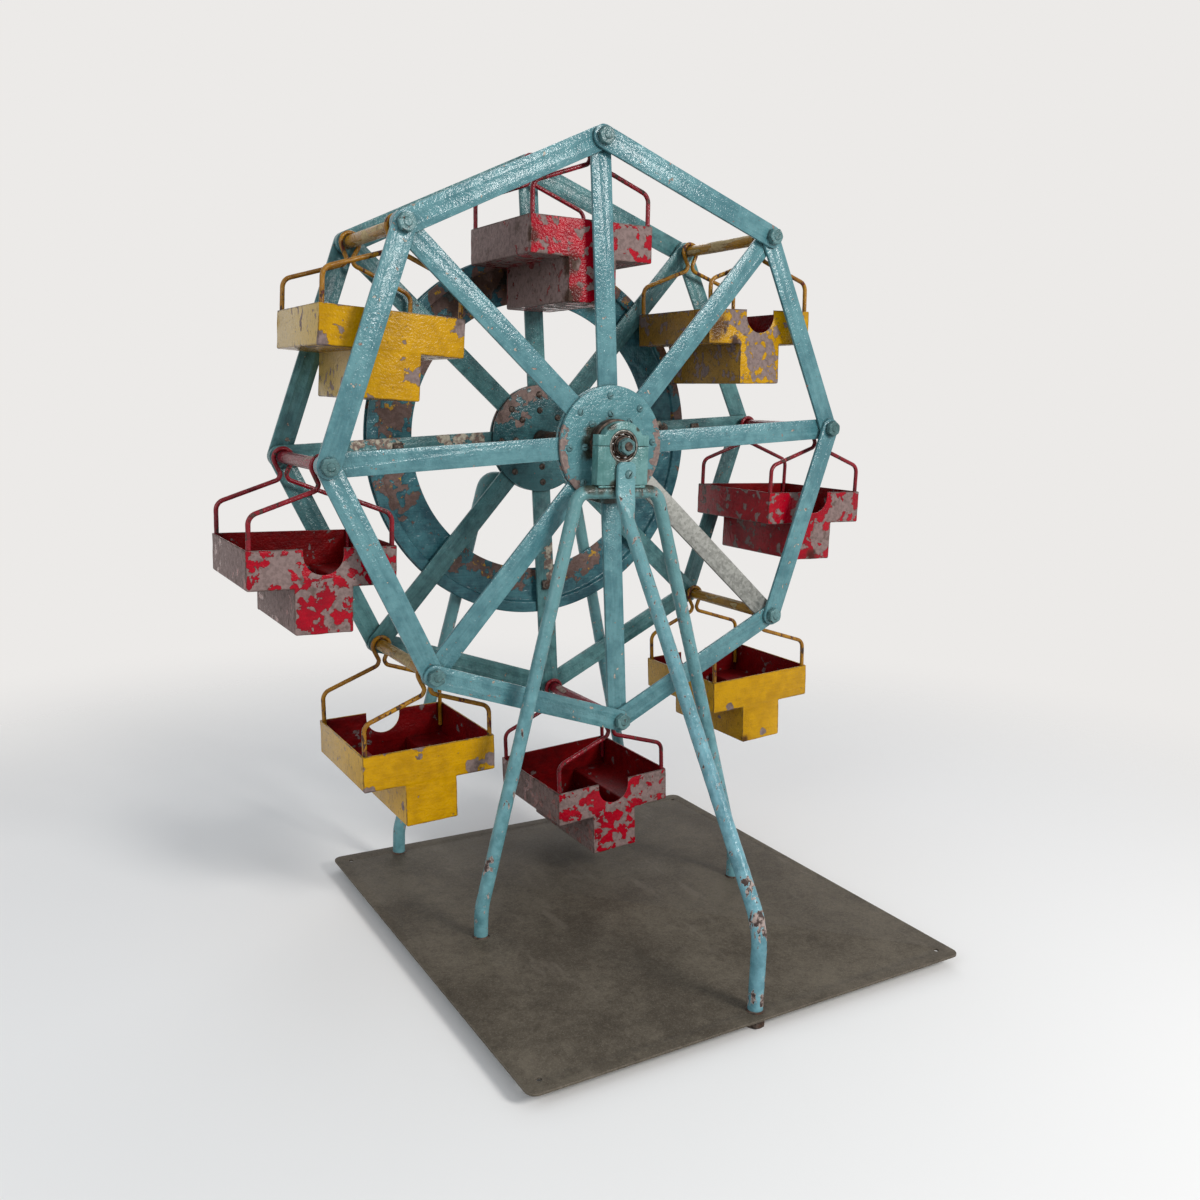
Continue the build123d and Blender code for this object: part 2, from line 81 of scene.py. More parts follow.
NODE_COUNT = 8
WHEEL_R = 250.0  # from the axle to the cross rods
WHEEL_TURN = 4.4  # degrees that the wheel stands past upright
BAR_WIDTH = 19.0
SPOKE_START_R = 24.5
TUBE_D = 10.5
TIE_ROD_D = 7.0
NUT_ACROSS = 13.0
BARE_SPOKE = 4
AXLE_Z = (low("front_hub_discs").z + high("front_hub_discs").z) / 2
DISC_R = (high("front_hub_discs").x - low("front_hub_discs").x) / 2
BAR_THICK = high("bare_spoke").y - low("bare_spoke").y
PLATE_TOP = high("base_plate").z
print("the axle is", round(AXLE_Z, 1), "mm above the table")
print("the hub discs are", round(2 * DISC_R, 1), "mm across")


# %% Where the wheel's nodes are
def node_angle(node):
    """Direction of a node from the axle, in degrees; node 1 is at the top and they run clockwise."""
    return 90.0 - (node - 1) * 360.0 / NODE_COUNT + WHEEL_TURN


def polar(radius, angle):
    return radius * math.cos(math.radians(angle)), radius * math.sin(math.radians(angle))


def on_wheel(radius, angle, y):
    """A point this far from the axle in this direction, seen from the front."""
    x, z = polar(radius, angle)
    return Vector((x, y, AXLE_Z + z))


def shift(x, y, z):
    return Matrix.Translation((x, y, z))


def turn(angle):
    """Turns a shape about the y axis, counter-clockwise as seen from the front."""
    return Matrix.Rotation(math.radians(-angle), 4, "Y")


print("node 1 stands at", [round(v, 1) for v in on_wheel(WHEEL_R, node_angle(1), 0)])


# %% [markdown]
# ## Drawing solids
#
# A `Shape` is a list of points and the faces between them. Keeping it as plain lists lets small
# functions draw, move and add shapes before Blender sees them. When a shape becomes a mesh its
# doubles are merged and its faces turned outwards. Each point also keeps the place it was first
# drawn at, in an attribute called `grain`: brush marks run along a bar wherever the bar ends up.

# %% Shapes
MERGE_WITHIN = 0.002  # millimetres; points closer than this become one
STRAIGHT = 1e-6  # millimetres; a bend that takes up less than this is left a corner


class Shape:
    """Points in millimetres and the faces between them, before they become a mesh."""

    def __init__(self, points, faces, grain=None):
        self.points = [Vector(point) for point in points]
        self.faces = list(faces)
        self.grain = grain or [point.copy() for point in self.points]

    def moved(self, matrix):
        return Shape([matrix @ point for point in self.points], self.faces, self.grain)

    def __add__(self, other):
        step = len(self.points)
        faces = self.faces + [[i + step for i in face] for face in other.faces]
        return Shape(self.points + other.points, faces, self.grain + other.grain)

    def mesh(self, name):
        made = bpy.data.meshes.new(name)
        made.from_pydata([point * MM for point in self.points], [], self.faces)
        grain = made.attributes.new("grain", "FLOAT_VECTOR", "POINT")
        for value, point in zip(grain.data, self.grain):
            value.vector = point * MM
        work = bmesh.new()
        work.from_mesh(made)
        bmesh.ops.remove_doubles(work, verts=work.verts, dist=MERGE_WITHIN * MM)
        bmesh.ops.recalc_face_normals(work, faces=work.faces)
        work.to_mesh(made)
        work.free()
        return made


def joined(shapes):
    whole = Shape([], [])
    for shape in shapes:
        whole = whole + shape
    return whole


def merged(name, meshes):
    """Several finished meshes put together as one."""
    work = bmesh.new()
    for mesh in meshes:
        work.from_mesh(mesh)
    whole = bpy.data.meshes.new(name)
    work.to_mesh(whole)
    work.free()
    return whole


triangle = Shape([(0, 0, 0), (1, 0, 0), (0, 0, 1)], [(0, 1, 2)])
print("a triangle joined with its copy has", len(joined([triangle, triangle]).points), "points")


# %% Rounded corners
def eased(points, radii, closed=False, step=15.0):
    """A line with each corner rounded to its radius; one radius may stand for all."""
    points = [Vector(point) for point in points]
    count = len(points)
    radii = radii if isinstance(radii, (list, tuple)) else [radii] * count
    line = []
    for i, corner in enumerate(points):
        if not closed and i in (0, count - 1):
            line.append(corner)
            continue
        into = (corner - points[i - 1]).normalized()
        out = (points[(i + 1) % count] - corner).normalized()
        bend = into.angle(out, 0.0)
        reach = radii[i] * math.tan(bend / 2)
        if reach < STRAIGHT:
            line.append(corner)
            continue
        steps = max(1, round(math.degrees(bend) / step))
        start = corner - into * reach
        across = (out - into * into.dot(out)).normalized()
        for j in range(steps + 1):
            angle = bend * j / steps
            forward = into * radii[i] * math.sin(angle)
            line.append(start + forward + across * radii[i] * (1 - math.cos(angle)))
    return line


def circle(x, z, radius, steps=32):
    angles = [360.0 * i / steps for i in range(steps)]
    return [Vector((x + polar(radius, a)[0], z + polar(radius, a)[1])) for a in angles]


print("a square corner rounded to 2 mm has", len(eased([(0, 0), (9, 0), (9, 9)], 2)) - 2, "points")


# %% [markdown]
# ## Cutting flat pieces
#
# Bars, discs and gondola ends are all cut from flat steel, so one function makes them: it takes
# the outline seen from the front, any holes, and how thick the piece is. Cut edges of real sheet
# are never sharp, and a bead of light along them is what makes them look solid, so each edge
# gets a small round. The outline is moved inwards a little on the two faces to make it.

# %% Flat pieces with eased edges
def inset(outline, distance):
    """A closed outline moved to its left by a distance, mitred at its corners."""
    moved = []
    for i, here in enumerate(outline):
        into = (here - outline[i - 1]).normalized()
        out = (outline[(i + 1) % len(outline)] - here).normalized()
        left = Vector((-into.y - out.y, into.x + out.x))
        moved.append(here + left * distance / (1 + into.dot(out)))
    return moved


def area(outline):
    return sum(a.x * b.y - b.x * a.y for a, b in zip(outline, outline[1:] + outline[:1])) / 2


# how deep each step of an edge's round lies and how far the outline is let in there, as shares of it
EDGE_ROUND = ((0.0, 1.0), (0.3, 0.3), (1.0, 0.0))


def cut(outline, y, thick, holes=(), ease=0.4):
    """A flat piece from y back to y + thick, drawn as (x, z) and seen from the front."""
    rims = [[Vector(p) for p in rim] for rim in (outline, *holes)]
    rims = [rim if (area(rim) > 0) == (i == 0) else rim[::-1] for i, rim in enumerate(rims)]
    levels = [(y + depth * ease, reach * ease) for depth, reach in EDGE_ROUND]
    levels += [(2 * y + thick - at, reach) for at, reach in reversed(levels)]
    points, faces, starts = [], [], []
    for rim in rims:
        first, size = len(points), len(rim)
        starts.append(first)
        for at, reach in levels:
            points += [(p.x, at, p.y) for p in inset(rim, reach)]
        for level in range(len(levels) - 1):
            for i in range(size):
                a, b = first + level * size + i, first + level * size + (i + 1) % size
                faces.append([a, b, b + size, a + size])
    front, back = ([start + level * len(rim) + i
                    for start, rim in zip(starts, rims) for i in range(len(rim))]
                   for level in (0, len(levels) - 1))
    triangles = tessellate_polygon([[p.to_3d() for p in inset(rim, ease)] for rim in rims])
    faces += [[front[i] for i in triangle] for triangle in triangles]
    faces += [[back[i] for i in reversed(triangle)] for triangle in triangles]
    return Shape(points, faces)


print("a 19 mm washer has", len(cut(circle(0, 0, 9.5), 0, 3, [circle(0, 0, 3.6)]).faces), "faces")


# %% [markdown]
# ## Turned pieces, nuts and screws
#
# A lathe spins a profile round an axis, and so does `turned`. A nut is turned as well: its sides
# are six flats, but its corners are cut back by a cone, so at every height the radius is the
# smaller of the two. Screw heads are domes with a slot let into them.

# %% Turned pieces
def faces_round(rows, size):
    """Faces between rows of points that go once round an axis; each row is a closed profile."""
    faces = []
    for i in range(rows):
        here, after = i * size, (i + 1) % rows * size
        for j in range(size):
            beside = (j + 1) % size
            faces.append([here + j, here + beside, after + beside, after + j])
    return faces


def turned(profile, steps=96):
    """A closed profile of (radius, y) points turned round the y axis."""
    points = []
    for i in range(steps):
        angle = 2 * math.pi * i / steps
        points += [(r * math.cos(angle), y, r * math.sin(angle)) for r, y in profile]
    return Shape(points, faces_round(steps, len(profile)))


def ring(bore, diameter, y, length, ease=0.4, steps=96):
    """A turned ring or, with no bore, a turned bar, from y back to y + length."""
    corners = [(bore / 2, y), (diameter / 2, y), (diameter / 2, y + length), (bore / 2, y + length)]
    radii = [ease if bore else 0.0, ease, ease, ease if bore else 0.0]
    return turned(eased(corners, radii, closed=True, step=30), steps)


print("a turned 19 mm washer has", len(ring(7.2, 19, 0, 3).faces), "faces")


# %% Nuts
NUT_FACE = 0.95  # where the cone starts, as a share of half the width across the flats
NUT_CONE = 32.0  # degrees


def nut(across, height, bore, sides=6, steps=12):
    """A nut along y from 0 to its height, its corners cut back by a cone at both ends."""
    flat = across / 2
    corner = flat / math.cos(math.pi / sides)
    rise = (corner - flat * NUT_FACE) * math.tan(math.radians(NUT_CONE))
    limits = [(flat * NUT_FACE + (corner - flat * NUT_FACE) * k / 4, k / 4) for k in range(5)]
    levels = [(bore / 2, 0.0)] + [(limit, share * rise) for limit, share in limits]
    levels += [(limit, height - share * rise) for limit, share in reversed(limits)]
    levels.append((bore / 2, height))
    points = []
    for i in range(sides * steps):
        angle = 2 * math.pi * i / (sides * steps)
        side = flat / math.cos(angle % (2 * math.pi / sides) - math.pi / sides)
        radii = [min(side, r) for r, _ in levels]
        points += [(r * math.cos(angle), y, r * math.sin(angle)) for r, (_, y) in zip(radii, levels)]
    return Shape(points, faces_round(sides * steps, len(levels)))


print("a hexagon nut has", len(nut(13, 5.5, 7).faces), "faces")


# %% Slotted round heads
def screw_head(diameter, height, slot_width, slot_depth):
    """A round head standing on y = 0 and facing the front, with a slot across it."""
    radius = diameter / 2
    tilts = [math.radians(a) for a in range(0, 91, 10)]
    dome = [(radius * math.sin(tilt), -height * math.cos(tilt)) for tilt in tilts]
    made = turned(dome + [(0.0, 0.0)], 40).mesh("screw_head")
    work = bmesh.new()
    work.from_mesh(made)
    half = slot_width / 2 * MM
    for side in (-half, half):
        everything = work.verts[:] + work.edges[:] + work.faces[:]
        bmesh.ops.bisect_plane(work, geom=everything, dist=1e-7, plane_co=(side, 0, 0),
                               plane_no=(1, 0, 0))
    floor = -(height - slot_depth) * MM
    strip = [f for f in work.faces if abs(f.calc_center_median().x) < half and f.normal.y < -0.05]
    extruded = bmesh.ops.extrude_face_region(work, geom=strip)
    bmesh.ops.delete(work, geom=strip, context="FACES_ONLY")
    for vert in (v for v in extruded["geom"] if isinstance(v, bmesh.types.BMVert)):
        vert.co.y = max(vert.co.y, floor)
    bmesh.ops.remove_doubles(work, verts=work.verts, dist=1e-6)
    bmesh.ops.recalc_face_normals(work, faces=work.faces)
    work.to_mesh(made)
    work.free()
    return made


print("a screw head has", len(screw_head(6.2, 2.4, 1.0, 1.0).polygons), "faces")


# %% [markdown]
# ## Node trees, written as expressions
#
# Both materials and Geometry Nodes are trees of nodes. `Link` wraps one socket of a tree, so that
# `1 - mask * 0.5` adds the Math nodes by itself. Every other node comes from its `node` method:
# first the node's type, then its settings, then what goes into its sockets.

# %% One class for both kinds of tree
def named(sockets, identifier):
    return next(socket for socket in sockets if socket.identifier == identifier)


class Link:
    """One socket of a node tree. Sums on it add Math nodes."""

    def __init__(self, tree, socket=None):
        self.tree = tree
        self.socket = socket

    def node(self, kind, settings=None, inputs=None, out=0):
        """Adds a node; sockets go by number or identifier, and out names the one to carry on from."""
        made = self.tree.nodes.new(kind)
        for key, value in (settings or {}).items():
            setattr(made, key, value)
        for key, value in (inputs or {}).items():
            socket = made.inputs[key] if isinstance(key, int) else named(made.inputs, key)
            if isinstance(value, Link):
                self.tree.links.new(value.socket, socket)
            else:
                socket.default_value = value
        if isinstance(out, int):
            return Link(self.tree, made.outputs[out] if made.outputs else None)
        return Link(self.tree, named(made.outputs, out))

    def math(self, operation, first, second=0.0):
        return self.node("ShaderNodeMath", {"operation": operation}, {0: first, 1: second})

    def __add__(self, other):
        return self.math("ADD", self, other)

    def __sub__(self, other):
        return self.math("SUBTRACT", self, other)

    def __rsub__(self, other):
        return self.math("SUBTRACT", other, self)

    def __mul__(self, other):
        return self.math("MULTIPLY", self, other)

    __radd__ = __add__
    __rmul__ = __mul__


print("a Link has", " and ".join(name for name in vars(Link) if not name.startswith("_")))


# %% [markdown]
# ## A tree that sets pieces round the axle
#
# Spokes, rim bars, nuts, screws and bearing balls all repeat round the axle. One Geometry Nodes
# tree places them: it makes points on a circle, sets an instance of the piece on each, and turns
# it either with the circle, as a spoke, or by a random angle, as a screw left where it was tight.
# The instances are made real at the end, because an exported model keeps no instances.

# %% Building a tree and running it
def new_tree(name, inputs):
    """A geometry tree with these named inputs; returns the tree and a Link to each input."""
    tree = bpy.data.node_groups.new(name, "GeometryNodeTree")
    tree.interface.new_socket("Geometry", in_out="INPUT", socket_type="NodeSocketGeometry")
    for label, kind in inputs.items():
        tree.interface.new_socket(label, in_out="INPUT", socket_type="NodeSocket" + kind)
    tree.interface.new_socket("Geometry", in_out="OUTPUT", socket_type="NodeSocketGeometry")
    entry = tree.nodes.new("NodeGroupInput")
    return tree, {socket.name: Link(tree, socket) for socket in entry.outputs if socket.name}


def end_tree(geometry, material):
    """Makes instances real, gives them their finish and ends the tree."""
    real = geometry.node("GeometryNodeRealizeInstances", None, {0: geometry})
    finished = real.node("GeometryNodeSetMaterial", None, {"Geometry": real, "Material": material})
    finished.node("NodeGroupOutput", None, {0: finished})


def run_tree(tree, base, values):
    """Runs a tree on a mesh with these input values and returns the plain mesh that it makes."""
    holder = bpy.data.objects.new("holder", base)
    scene.collection.objects.link(holder)
    modifier = holder.modifiers.new("grown", "NODES")
    modifier.node_group = tree
    for item in tree.interface.items_tree:
        if item.in_out == "INPUT" and item.name in values:
            modifier[item.identifier] = values[item.name]
    graph = bpy.context.evaluated_depsgraph_get()
    made = bpy.data.meshes.new_from_object(holder.evaluated_get(graph))
    bpy.data.objects.remove(holder)
    return made


print("every tree ends with Realize Instances and Set Material")


# %% The tree of rings
ring_tree, given = new_tree("pieces_round_the_axle", {
    "Piece": "Object", "Count": "Int", "Radius": "Float", "First": "Float", "Step": "Float",
    "Middle": "Vector", "Follow": "Float", "Loose": "Float", "Seed": "Int",
    "Finish": "Material"})
index = given["Count"].node("GeometryNodeInputIndex")
angle = given["First"] + index * given["Step"]
circle_x = angle.math("COSINE", angle) * given["Radius"]
circle_z = angle.math("SINE", angle) * given["Radius"]
spot = angle.node("ShaderNodeCombineXYZ", None, {0: circle_x, 2: circle_z})
spot = spot.node("ShaderNodeVectorMath", {"operation": "ADD"}, {0: spot, 1: given["Middle"]})
points = spot.node("GeometryNodePoints", None, {"Count": given["Count"], "Position": spot})
chance = points.node("FunctionNodeRandomValue", {"data_type": "FLOAT"}, {
    "Min_001": given["Loose"] * -1.0, "Max_001": given["Loose"], "ID": index,
    "Seed": given["Seed"]}, "Value_001")
twist = chance.node("ShaderNodeCombineXYZ", None, {1: chance - angle * given["Follow"]})
source = twist.node("GeometryNodeObjectInfo", None, {0: given["Piece"]}, "Geometry")
copies = source.node("GeometryNodeInstanceOnPoints", None, {
    "Points": points, "Instance": source, "Rotation": twist})
end_tree(copies, given["Finish"])


def round_the_axle(shape, finish, count=NODE_COUNT, radius=0.0, first=0.0, y=0.0, apart=None,
                   loose=0.0, seed=1):
    """Sets copies of a shape round the axle. With no loose turn they turn with their places."""
    mesh = shape if isinstance(shape, bpy.types.Mesh) else shape.mesh("piece")
    apart = 360.0 / count if apart is None else apart
    pattern = bpy.data.objects.new("pattern", mesh)
    scene.collection.objects.link(pattern)
    made = run_tree(ring_tree, bpy.data.meshes.new("empty"), {
        "Piece": pattern, "Count": count, "Radius": radius * MM, "First": math.radians(first),
        "Step": math.radians(-apart), "Middle": (0.0, y * MM, AXLE_Z * MM),
        "Follow": 0.0 if loose else 1.0, "Loose": math.radians(loose), "Seed": seed,
        "Finish": finish})
    bpy.data.objects.remove(pattern)
    return made


print("the ring tree has", len(ring_tree.nodes), "nodes")


# %% [markdown]
# ## A tree that bends rod and wire
#
# The stand and the hangers are bent from round stock. A bender works from straight runs and a
# radius at each corner, and so does this tree: it takes a line of points, rounds each corner to
# the radius stored there, and sweeps a circle along. Hand-brushed paint never lies even, so the
# tree can also push the skin in and out a little.

# %% The tree of rods
rod_tree, given = new_tree("bent_rod", {
    "Diameter": "Float", "Sides": "Int", "Step": "Float", "Lumps": "Float", "Lump size": "Float",
    "Finish": "Material"})
lines = given["Geometry"].node("GeometryNodeMeshToCurve", None, {0: given["Geometry"]})
bend_at = lines.node("GeometryNodeInputNamedAttribute", {"data_type": "FLOAT"}, {"Name": "bend"})
bends = lines.node("GeometryNodeFilletCurve", {"mode": "POLY"}, {
    "Curve": lines, "Count": 12, "Radius": bend_at, "Limit Radius": True})
even = bends.node("GeometryNodeResampleCurve", {"mode": "LENGTH"}, {
    "Curve": bends, "Length": given["Step"]})
section = even.node("GeometryNodeCurvePrimitiveCircle", None, {
    "Resolution": given["Sides"], "Radius": given["Diameter"] * 0.5})
skin = section.node("GeometryNodeCurveToMesh", None, {
    "Curve": even, "Profile Curve": section, "Fill Caps": True})
place = skin.node("GeometryNodeInputPosition")
grit = place.node("ShaderNodeTexNoise", None, {
    "Vector": place, "Scale": given["Lump size"], "Detail": 3.0})
# noise is about a half, so taking off a little more lets the skin in and keeps it inside its size
outward = grit.node("GeometryNodeInputNormal")
push = outward.node("ShaderNodeVectorMath", {"operation": "SCALE"}, {
    0: outward, "Scale": (grit - 0.62) * given["Lumps"]})
lumpy = push.node("GeometryNodeSetPosition", None, {"Geometry": skin, "Offset": push})
end_tree(lumpy, given["Finish"])


def bent_rods(lines, diameter, finish, sides=20, step=3.0, lumps=0.5, lump_size=7.0):
    """Rods along lines of points; each line is a list of points and a list of bend radii."""
    base = bpy.data.meshes.new("lines")
    points = [Vector(point) * MM for line, _ in lines for point in line]
    edges, start = [], 0
    for line, _ in lines:
        edges += [(start + i, start + i + 1) for i in range(len(line) - 1)]
        start += len(line)
    base.from_pydata(points, edges, [])
    bend = base.attributes.new("bend", "FLOAT", "POINT")
    for slot, radius in zip(bend.data, [radius for _, radii in lines for radius in radii]):
        slot.value = radius * MM
    return run_tree(rod_tree, base, {
        "Diameter": diameter * MM, "Sides": sides, "Step": step * MM, "Lumps": lumps * MM,
        "Lump size": 1.0 / (lump_size * MM), "Finish": finish})


print("the rod tree has", len(rod_tree.nodes), "nodes")


# %% [markdown]
# ## Mixing finishes
#
# Old brushed paint is several things at once: a colour that is never even, lumps and brush marks
# that catch the light, chips with a raised edge, primer and rust under them, and grime in every
# corner, where the darkening is painted shade as well. The next cells make one helper for each of
# these, and the finishes are built from them.
# All patterns are read at the piece's own coordinates in metres, so a size in millimetres means
# what it says.

# %% Colour and pattern helpers
def rgb(code):
    """A colour written as on the screen, such as #708090, as the linear light that shaders use."""
    parts = [int(code[i:i + 2], 16) / 255 for i in (1, 3, 5)]
    return (*[p / 12.92 if p <= 0.04045 else ((p + 0.055) / 1.055) ** 2.4 for p in parts], 1.0)


def mix(mask, under, over):
    """Colour over where the mask is 1, under where it is 0."""
    return mask.node("ShaderNodeMix", {"data_type": "RGBA"}, {
        "Factor_Float": mask, "A_Color": under, "B_Color": over}, "Result_Color")


def stained(mask, colour, stain):
    """A colour seen through a stain where the mask is 1."""
    return mask.node("ShaderNodeMix", {"data_type": "RGBA", "blend_type": "MULTIPLY"}, {
        "Factor_Float": mask, "A_Color": colour, "B_Color": rgb(stain)}, "Result_Color")


def step(value, start, end):
    """0 up to start, 1 from end on, and smooth between them."""
    return value.node("ShaderNodeMapRange", {"interpolation_type": "SMOOTHSTEP"}, {
        "Value": value, "From Min": start, "From Max": end})


def speckle(at, size, detail=3.0, rough=0.55, warp=0.0):
    """Noise whose spots are about this many millimetres across."""
    return at.node("ShaderNodeTexNoise", None, {
        "Vector": at, "Scale": 1.0 / (size * MM), "Detail": detail, "Roughness": rough,
        "Distortion": warp})


def stretched(at, x, y, z):
    return at.node("ShaderNodeVectorMath", {"operation": "MULTIPLY"}, {0: at, 1: (x, y, z)})


def patches_near(at, places):
    """1 at the middle of each place, a (point, radius) in millimetres, down to 0 at its edge."""
    total = None
    for point, radius in places:
        away = at.node("ShaderNodeVectorMath", {"operation": "DISTANCE"}, {
            0: at, 1: Vector(point) * MM}, "Value")
        near = away.math("MAXIMUM", 1.0 - away * (1.0 / (radius * MM)), 0.0)
        total = near if total is None else total.math("MAXIMUM", total, near)
    return total


def nooks(at, reach, inside=False):
    """How shut in a surface is: 1 deep in a corner or, with inside, on a sharp outer edge."""
    open_sky = at.node("ShaderNodeAmbientOcclusion", {
        "inside": inside, "only_local": inside, "samples": 4}, {"Distance": reach * MM}, "AO")
    return 1.0 - open_sky


print("the grey #808080 is", round(rgb("#808080")[0], 3), "in linear light")


# %% Opening and closing a material
def new_finish(name):
    """A new material and a Link to its pieces' own coordinates."""
    material = bpy.data.materials.new(name)
    material.use_nodes = True
    material.node_tree.nodes.clear()
    return material, Link(material.node_tree).node("ShaderNodeTexCoord", out="Object")


def close_finish(at, colour, rough, height, metal=0.0, shine=0.5):
    """The surface shader. Height is in metres, so the bump has the depth that is written."""
    bump = at.node("ShaderNodeBump", None, {"Strength": 1.0, "Distance": 1.0, "Height": height})
    shader = at.node("ShaderNodeBsdfPrincipled", None, {
        "Base Color": colour, "Roughness": rough, "Metallic": metal, "Normal": bump,
        "Specular IOR Level": shine})
    at.node("ShaderNodeOutputMaterial", None, {"Surface": shader})


print("a finish ends in a Bump, a Principled BSDF and a Material Output node")


# %% [markdown]
# ## Brushed paint
#
# One recipe makes every painted finish. Its parts can be left out or asked for:
#
# - `hold` says how well the paint has held on: at 0.5 half of it is gone, at 0.7 only a few chips.
# - `bare` lists the places where the photograph shows more of it gone, and `sooty_and_shaded` the dark
#   ones:
#   soot and rust, and painted shadow where parts shade one another.
# - `folds` wears the folded edges of a sheet, and `side` fades and strips the side that faces left,
#   and wears and darkens the faces that look down; that darkening is painted shade.
# - `higher` gives a second colour that the paint turns to between two heights.
# - `fleck` is an older coat that shows in the chips.
#
# Where a chip ends the paint stands up by its own thickness, which catches light.

# %% The recipe for old brushed paint
CHIP_DEPTH = 0.16  # millimetres of paint that a chip has lost
PIT_DEPTH = 0.05  # millimetres
# how brush marks and chips are stretched on a bar drawn along x, an upright rod and a tube along y
BRUSH_WAYS = {
    "grain": ((0.08, 1.0, 1.0), (1.0, 1.0, 1.0)),
    "upright": ((1.0, 1.0, 0.08), (1.0, 1.0, 0.45)),
    "tube": ((1.0, 0.08, 1.0), (1.0, 0.22, 1.0))}


def brushed_paint(name, paint, shade, primer, under, hold=0.68, bare=(), sooty_and_shaded=(), chip_size=9.0,
                  grime_and_shade=0.6, gloss=0.15, lumps=0.24, lump_size=2.3, brushed="grain", fleck=None,
                  outline="#2c2620", folds=False, side=None, higher=None, shine=0.3):
    material, at = new_finish(name)
    drawn = at.node("ShaderNodeAttribute", {"attribute_name": "grain"}, out="Vector")
    marks = stretched(drawn, *BRUSH_WAYS[brushed][0])
    broad = speckle(at, 45.0)
    cloud = speckle(at, 9.0, 4.0)
    fine = speckle(at, 1.3, 2.0)
    grit = speckle(at, 4.0, 4.0)
    brush = speckle(marks, 1.6, 3.0)
    # the coat is uneven, and darker where it ran
    colour = mix(step(broad * 0.4 + cloud * 0.4 + brush * 0.2, 0.38, 0.62), rgb(shade), rgb(paint))
    if higher:
        above = at.node("ShaderNodeSeparateXYZ", None, {0: at}, "Z")
        colour = mix(step(above, higher[0] * MM, higher[1] * MM) * 0.75, colour, rgb(higher[2]))
    # how much is lost: noise, more of it in the bare places and along folded edges
    chips = stretched(at, *BRUSH_WAYS[brushed][1])
    loss = speckle(chips, chip_size, 5.0, 0.52, 0.25) + (broad - 0.5) * 0.16
    if bare:
        loss = loss + step(patches_near(at, bare), 0.0, 0.8) * (hold - 0.4)
    if side:
        facing = at.node("ShaderNodeTexCoord", out="Normal")
        towards = (facing.node("ShaderNodeSeparateXYZ", None, {0: facing}, i) for i in (0, 2))
        left, underside_wear_and_shade = (step(way * -1.0, 0.6, 0.8) for way in towards)
        loss = loss + left * side[0] + underside_wear_and_shade * 0.1
        colour = mix(left * side[1], colour, rgb(side[2]))
        runs = speckle(stretched(at, 1.0, 1.0, 0.3), 1.8, 4.0, 0.7)
    if folds:
        fold = 1.0 - step(fold_distance(drawn) + grit * (1.6 * MM), 0.6 * MM, 2.4 * MM)
        loss = loss + fold * 0.07
    chipped = step(loss, hold, hold + 0.008)
    rim = step(loss, hold - 0.025, hold) - chipped
    undercoat = mix(step(grit, 0.42, 0.62), rgb(primer), rgb(under))
    undercoat = mix(step(cloud, 0.56, 0.7) * 0.6, undercoat, rgb("#4a3a30"))
    if fleck:
        undercoat = mix(step(speckle(at, 7.0, 5.0, 0.65), 0.6, 0.64), undercoat, rgb(fleck))
    colour = mix(rim * 0.5, colour, rgb(outline))
    colour = mix(chipped, colour, undercoat)
    # on the faces that look down the darkening is painted shade; the left side also gets dark runs
    if side:
        colour = mix(left * step(runs, 0.55, 0.66) * 0.55 + underside_wear_and_shade * 0.35, colour, rgb("#2c211b"))
    if folds:
        colour = mix(fold * step(cloud, 0.32, 0.56) * 0.85, colour, rgb("#33241c"))
    # pits in the coat, grime and painted shade in corners, soot and painted shadow in sooty places
    pits = step(fine, 0.68, 0.75)
    colour = mix(pits * 0.4, colour, rgb("#26241f"))
    corner = nooks(at, 4.0)
    darkening = step(corner + grit * 0.4, 0.46, 0.86) * grime_and_shade
    # the sooty places are soot and rust, and painted shadow where parts shade one another
    if sooty_and_shaded:
        soot_and_shade = step(patches_near(at, sooty_and_shaded) + cloud * 0.8 + grit * 0.4, 0.85, 1.35)
        colour = stained(soot_and_shade, mix(soot_and_shade * 0.35, colour, rgb("#6a5444")), "#8f7d6e")
    colour = mix(darkening, colour, rgb("#241a14"))
    rough = gloss + grit * 0.12 + chipped * 0.4 + darkening * 0.3
    relief = speckle(at, lump_size, 2.5) * 2.4 + cloud * 0.9 + brush * 0.1 + fine * 0.4
    height = relief * (lumps * MM) - chipped * (CHIP_DEPTH * MM) - pits * (PIT_DEPTH * MM)
    close_finish(at, colour, rough, height, shine=shine)
    return material


print("paint can be brushed in these ways:", ", ".join(BRUSH_WAYS))


# %% Teal for the wheels and the stand
TEAL = dict(paint="#669599", shade="#4a797e", primer="#77645f", under="#8d7a72")
BAR_TEAL = dict(paint="#5f8e93", shade="#437279", primer="#b9ad9c", under="#8f6f66")
teal_bars = brushed_paint("teal_bars", **BAR_TEAL, hold=0.69, chip_size=5.0, gloss=0.13, shine=0.45)
block_front = low("bearing_caps").y
block_places = ((-13, 17, 8), (14, 15, 4), (0, -12, 13), (-9, -33, 8))
block_soot = [((x, block_front, AXLE_Z + z), size) for x, z, size in block_places]
BLOCK_TEAL = dict(TEAL, paint="#699492", shade="#4a7774")
teal_blocks = brushed_paint("teal_blocks", **BLOCK_TEAL, hold=0.72, chip_size=4.0, grime_and_shade=0.95,
                            sooty_and_shaded=block_soot, brushed="upright")
DARK_TEAL = dict(paint="#64898a", shade="#3f5d5d", primer="#3a2f29", under="#57483e")
teal_nuts = brushed_paint("teal_nuts", **DARK_TEAL, hold=0.66, chip_size=3.0, grime_and_shade=0.95,
                          lump_size=2.0)
print("mixed three teals")


# %% [markdown]
# ## Bare metals
#
# Some pieces never had paint: the hub bosses and feet are brown with old oxide, the bearings are
# bright, and one spoke was replaced with a strip of galvanised steel, whose zinc shows as grey
# spangles with straight edges. Cell noise gives those.

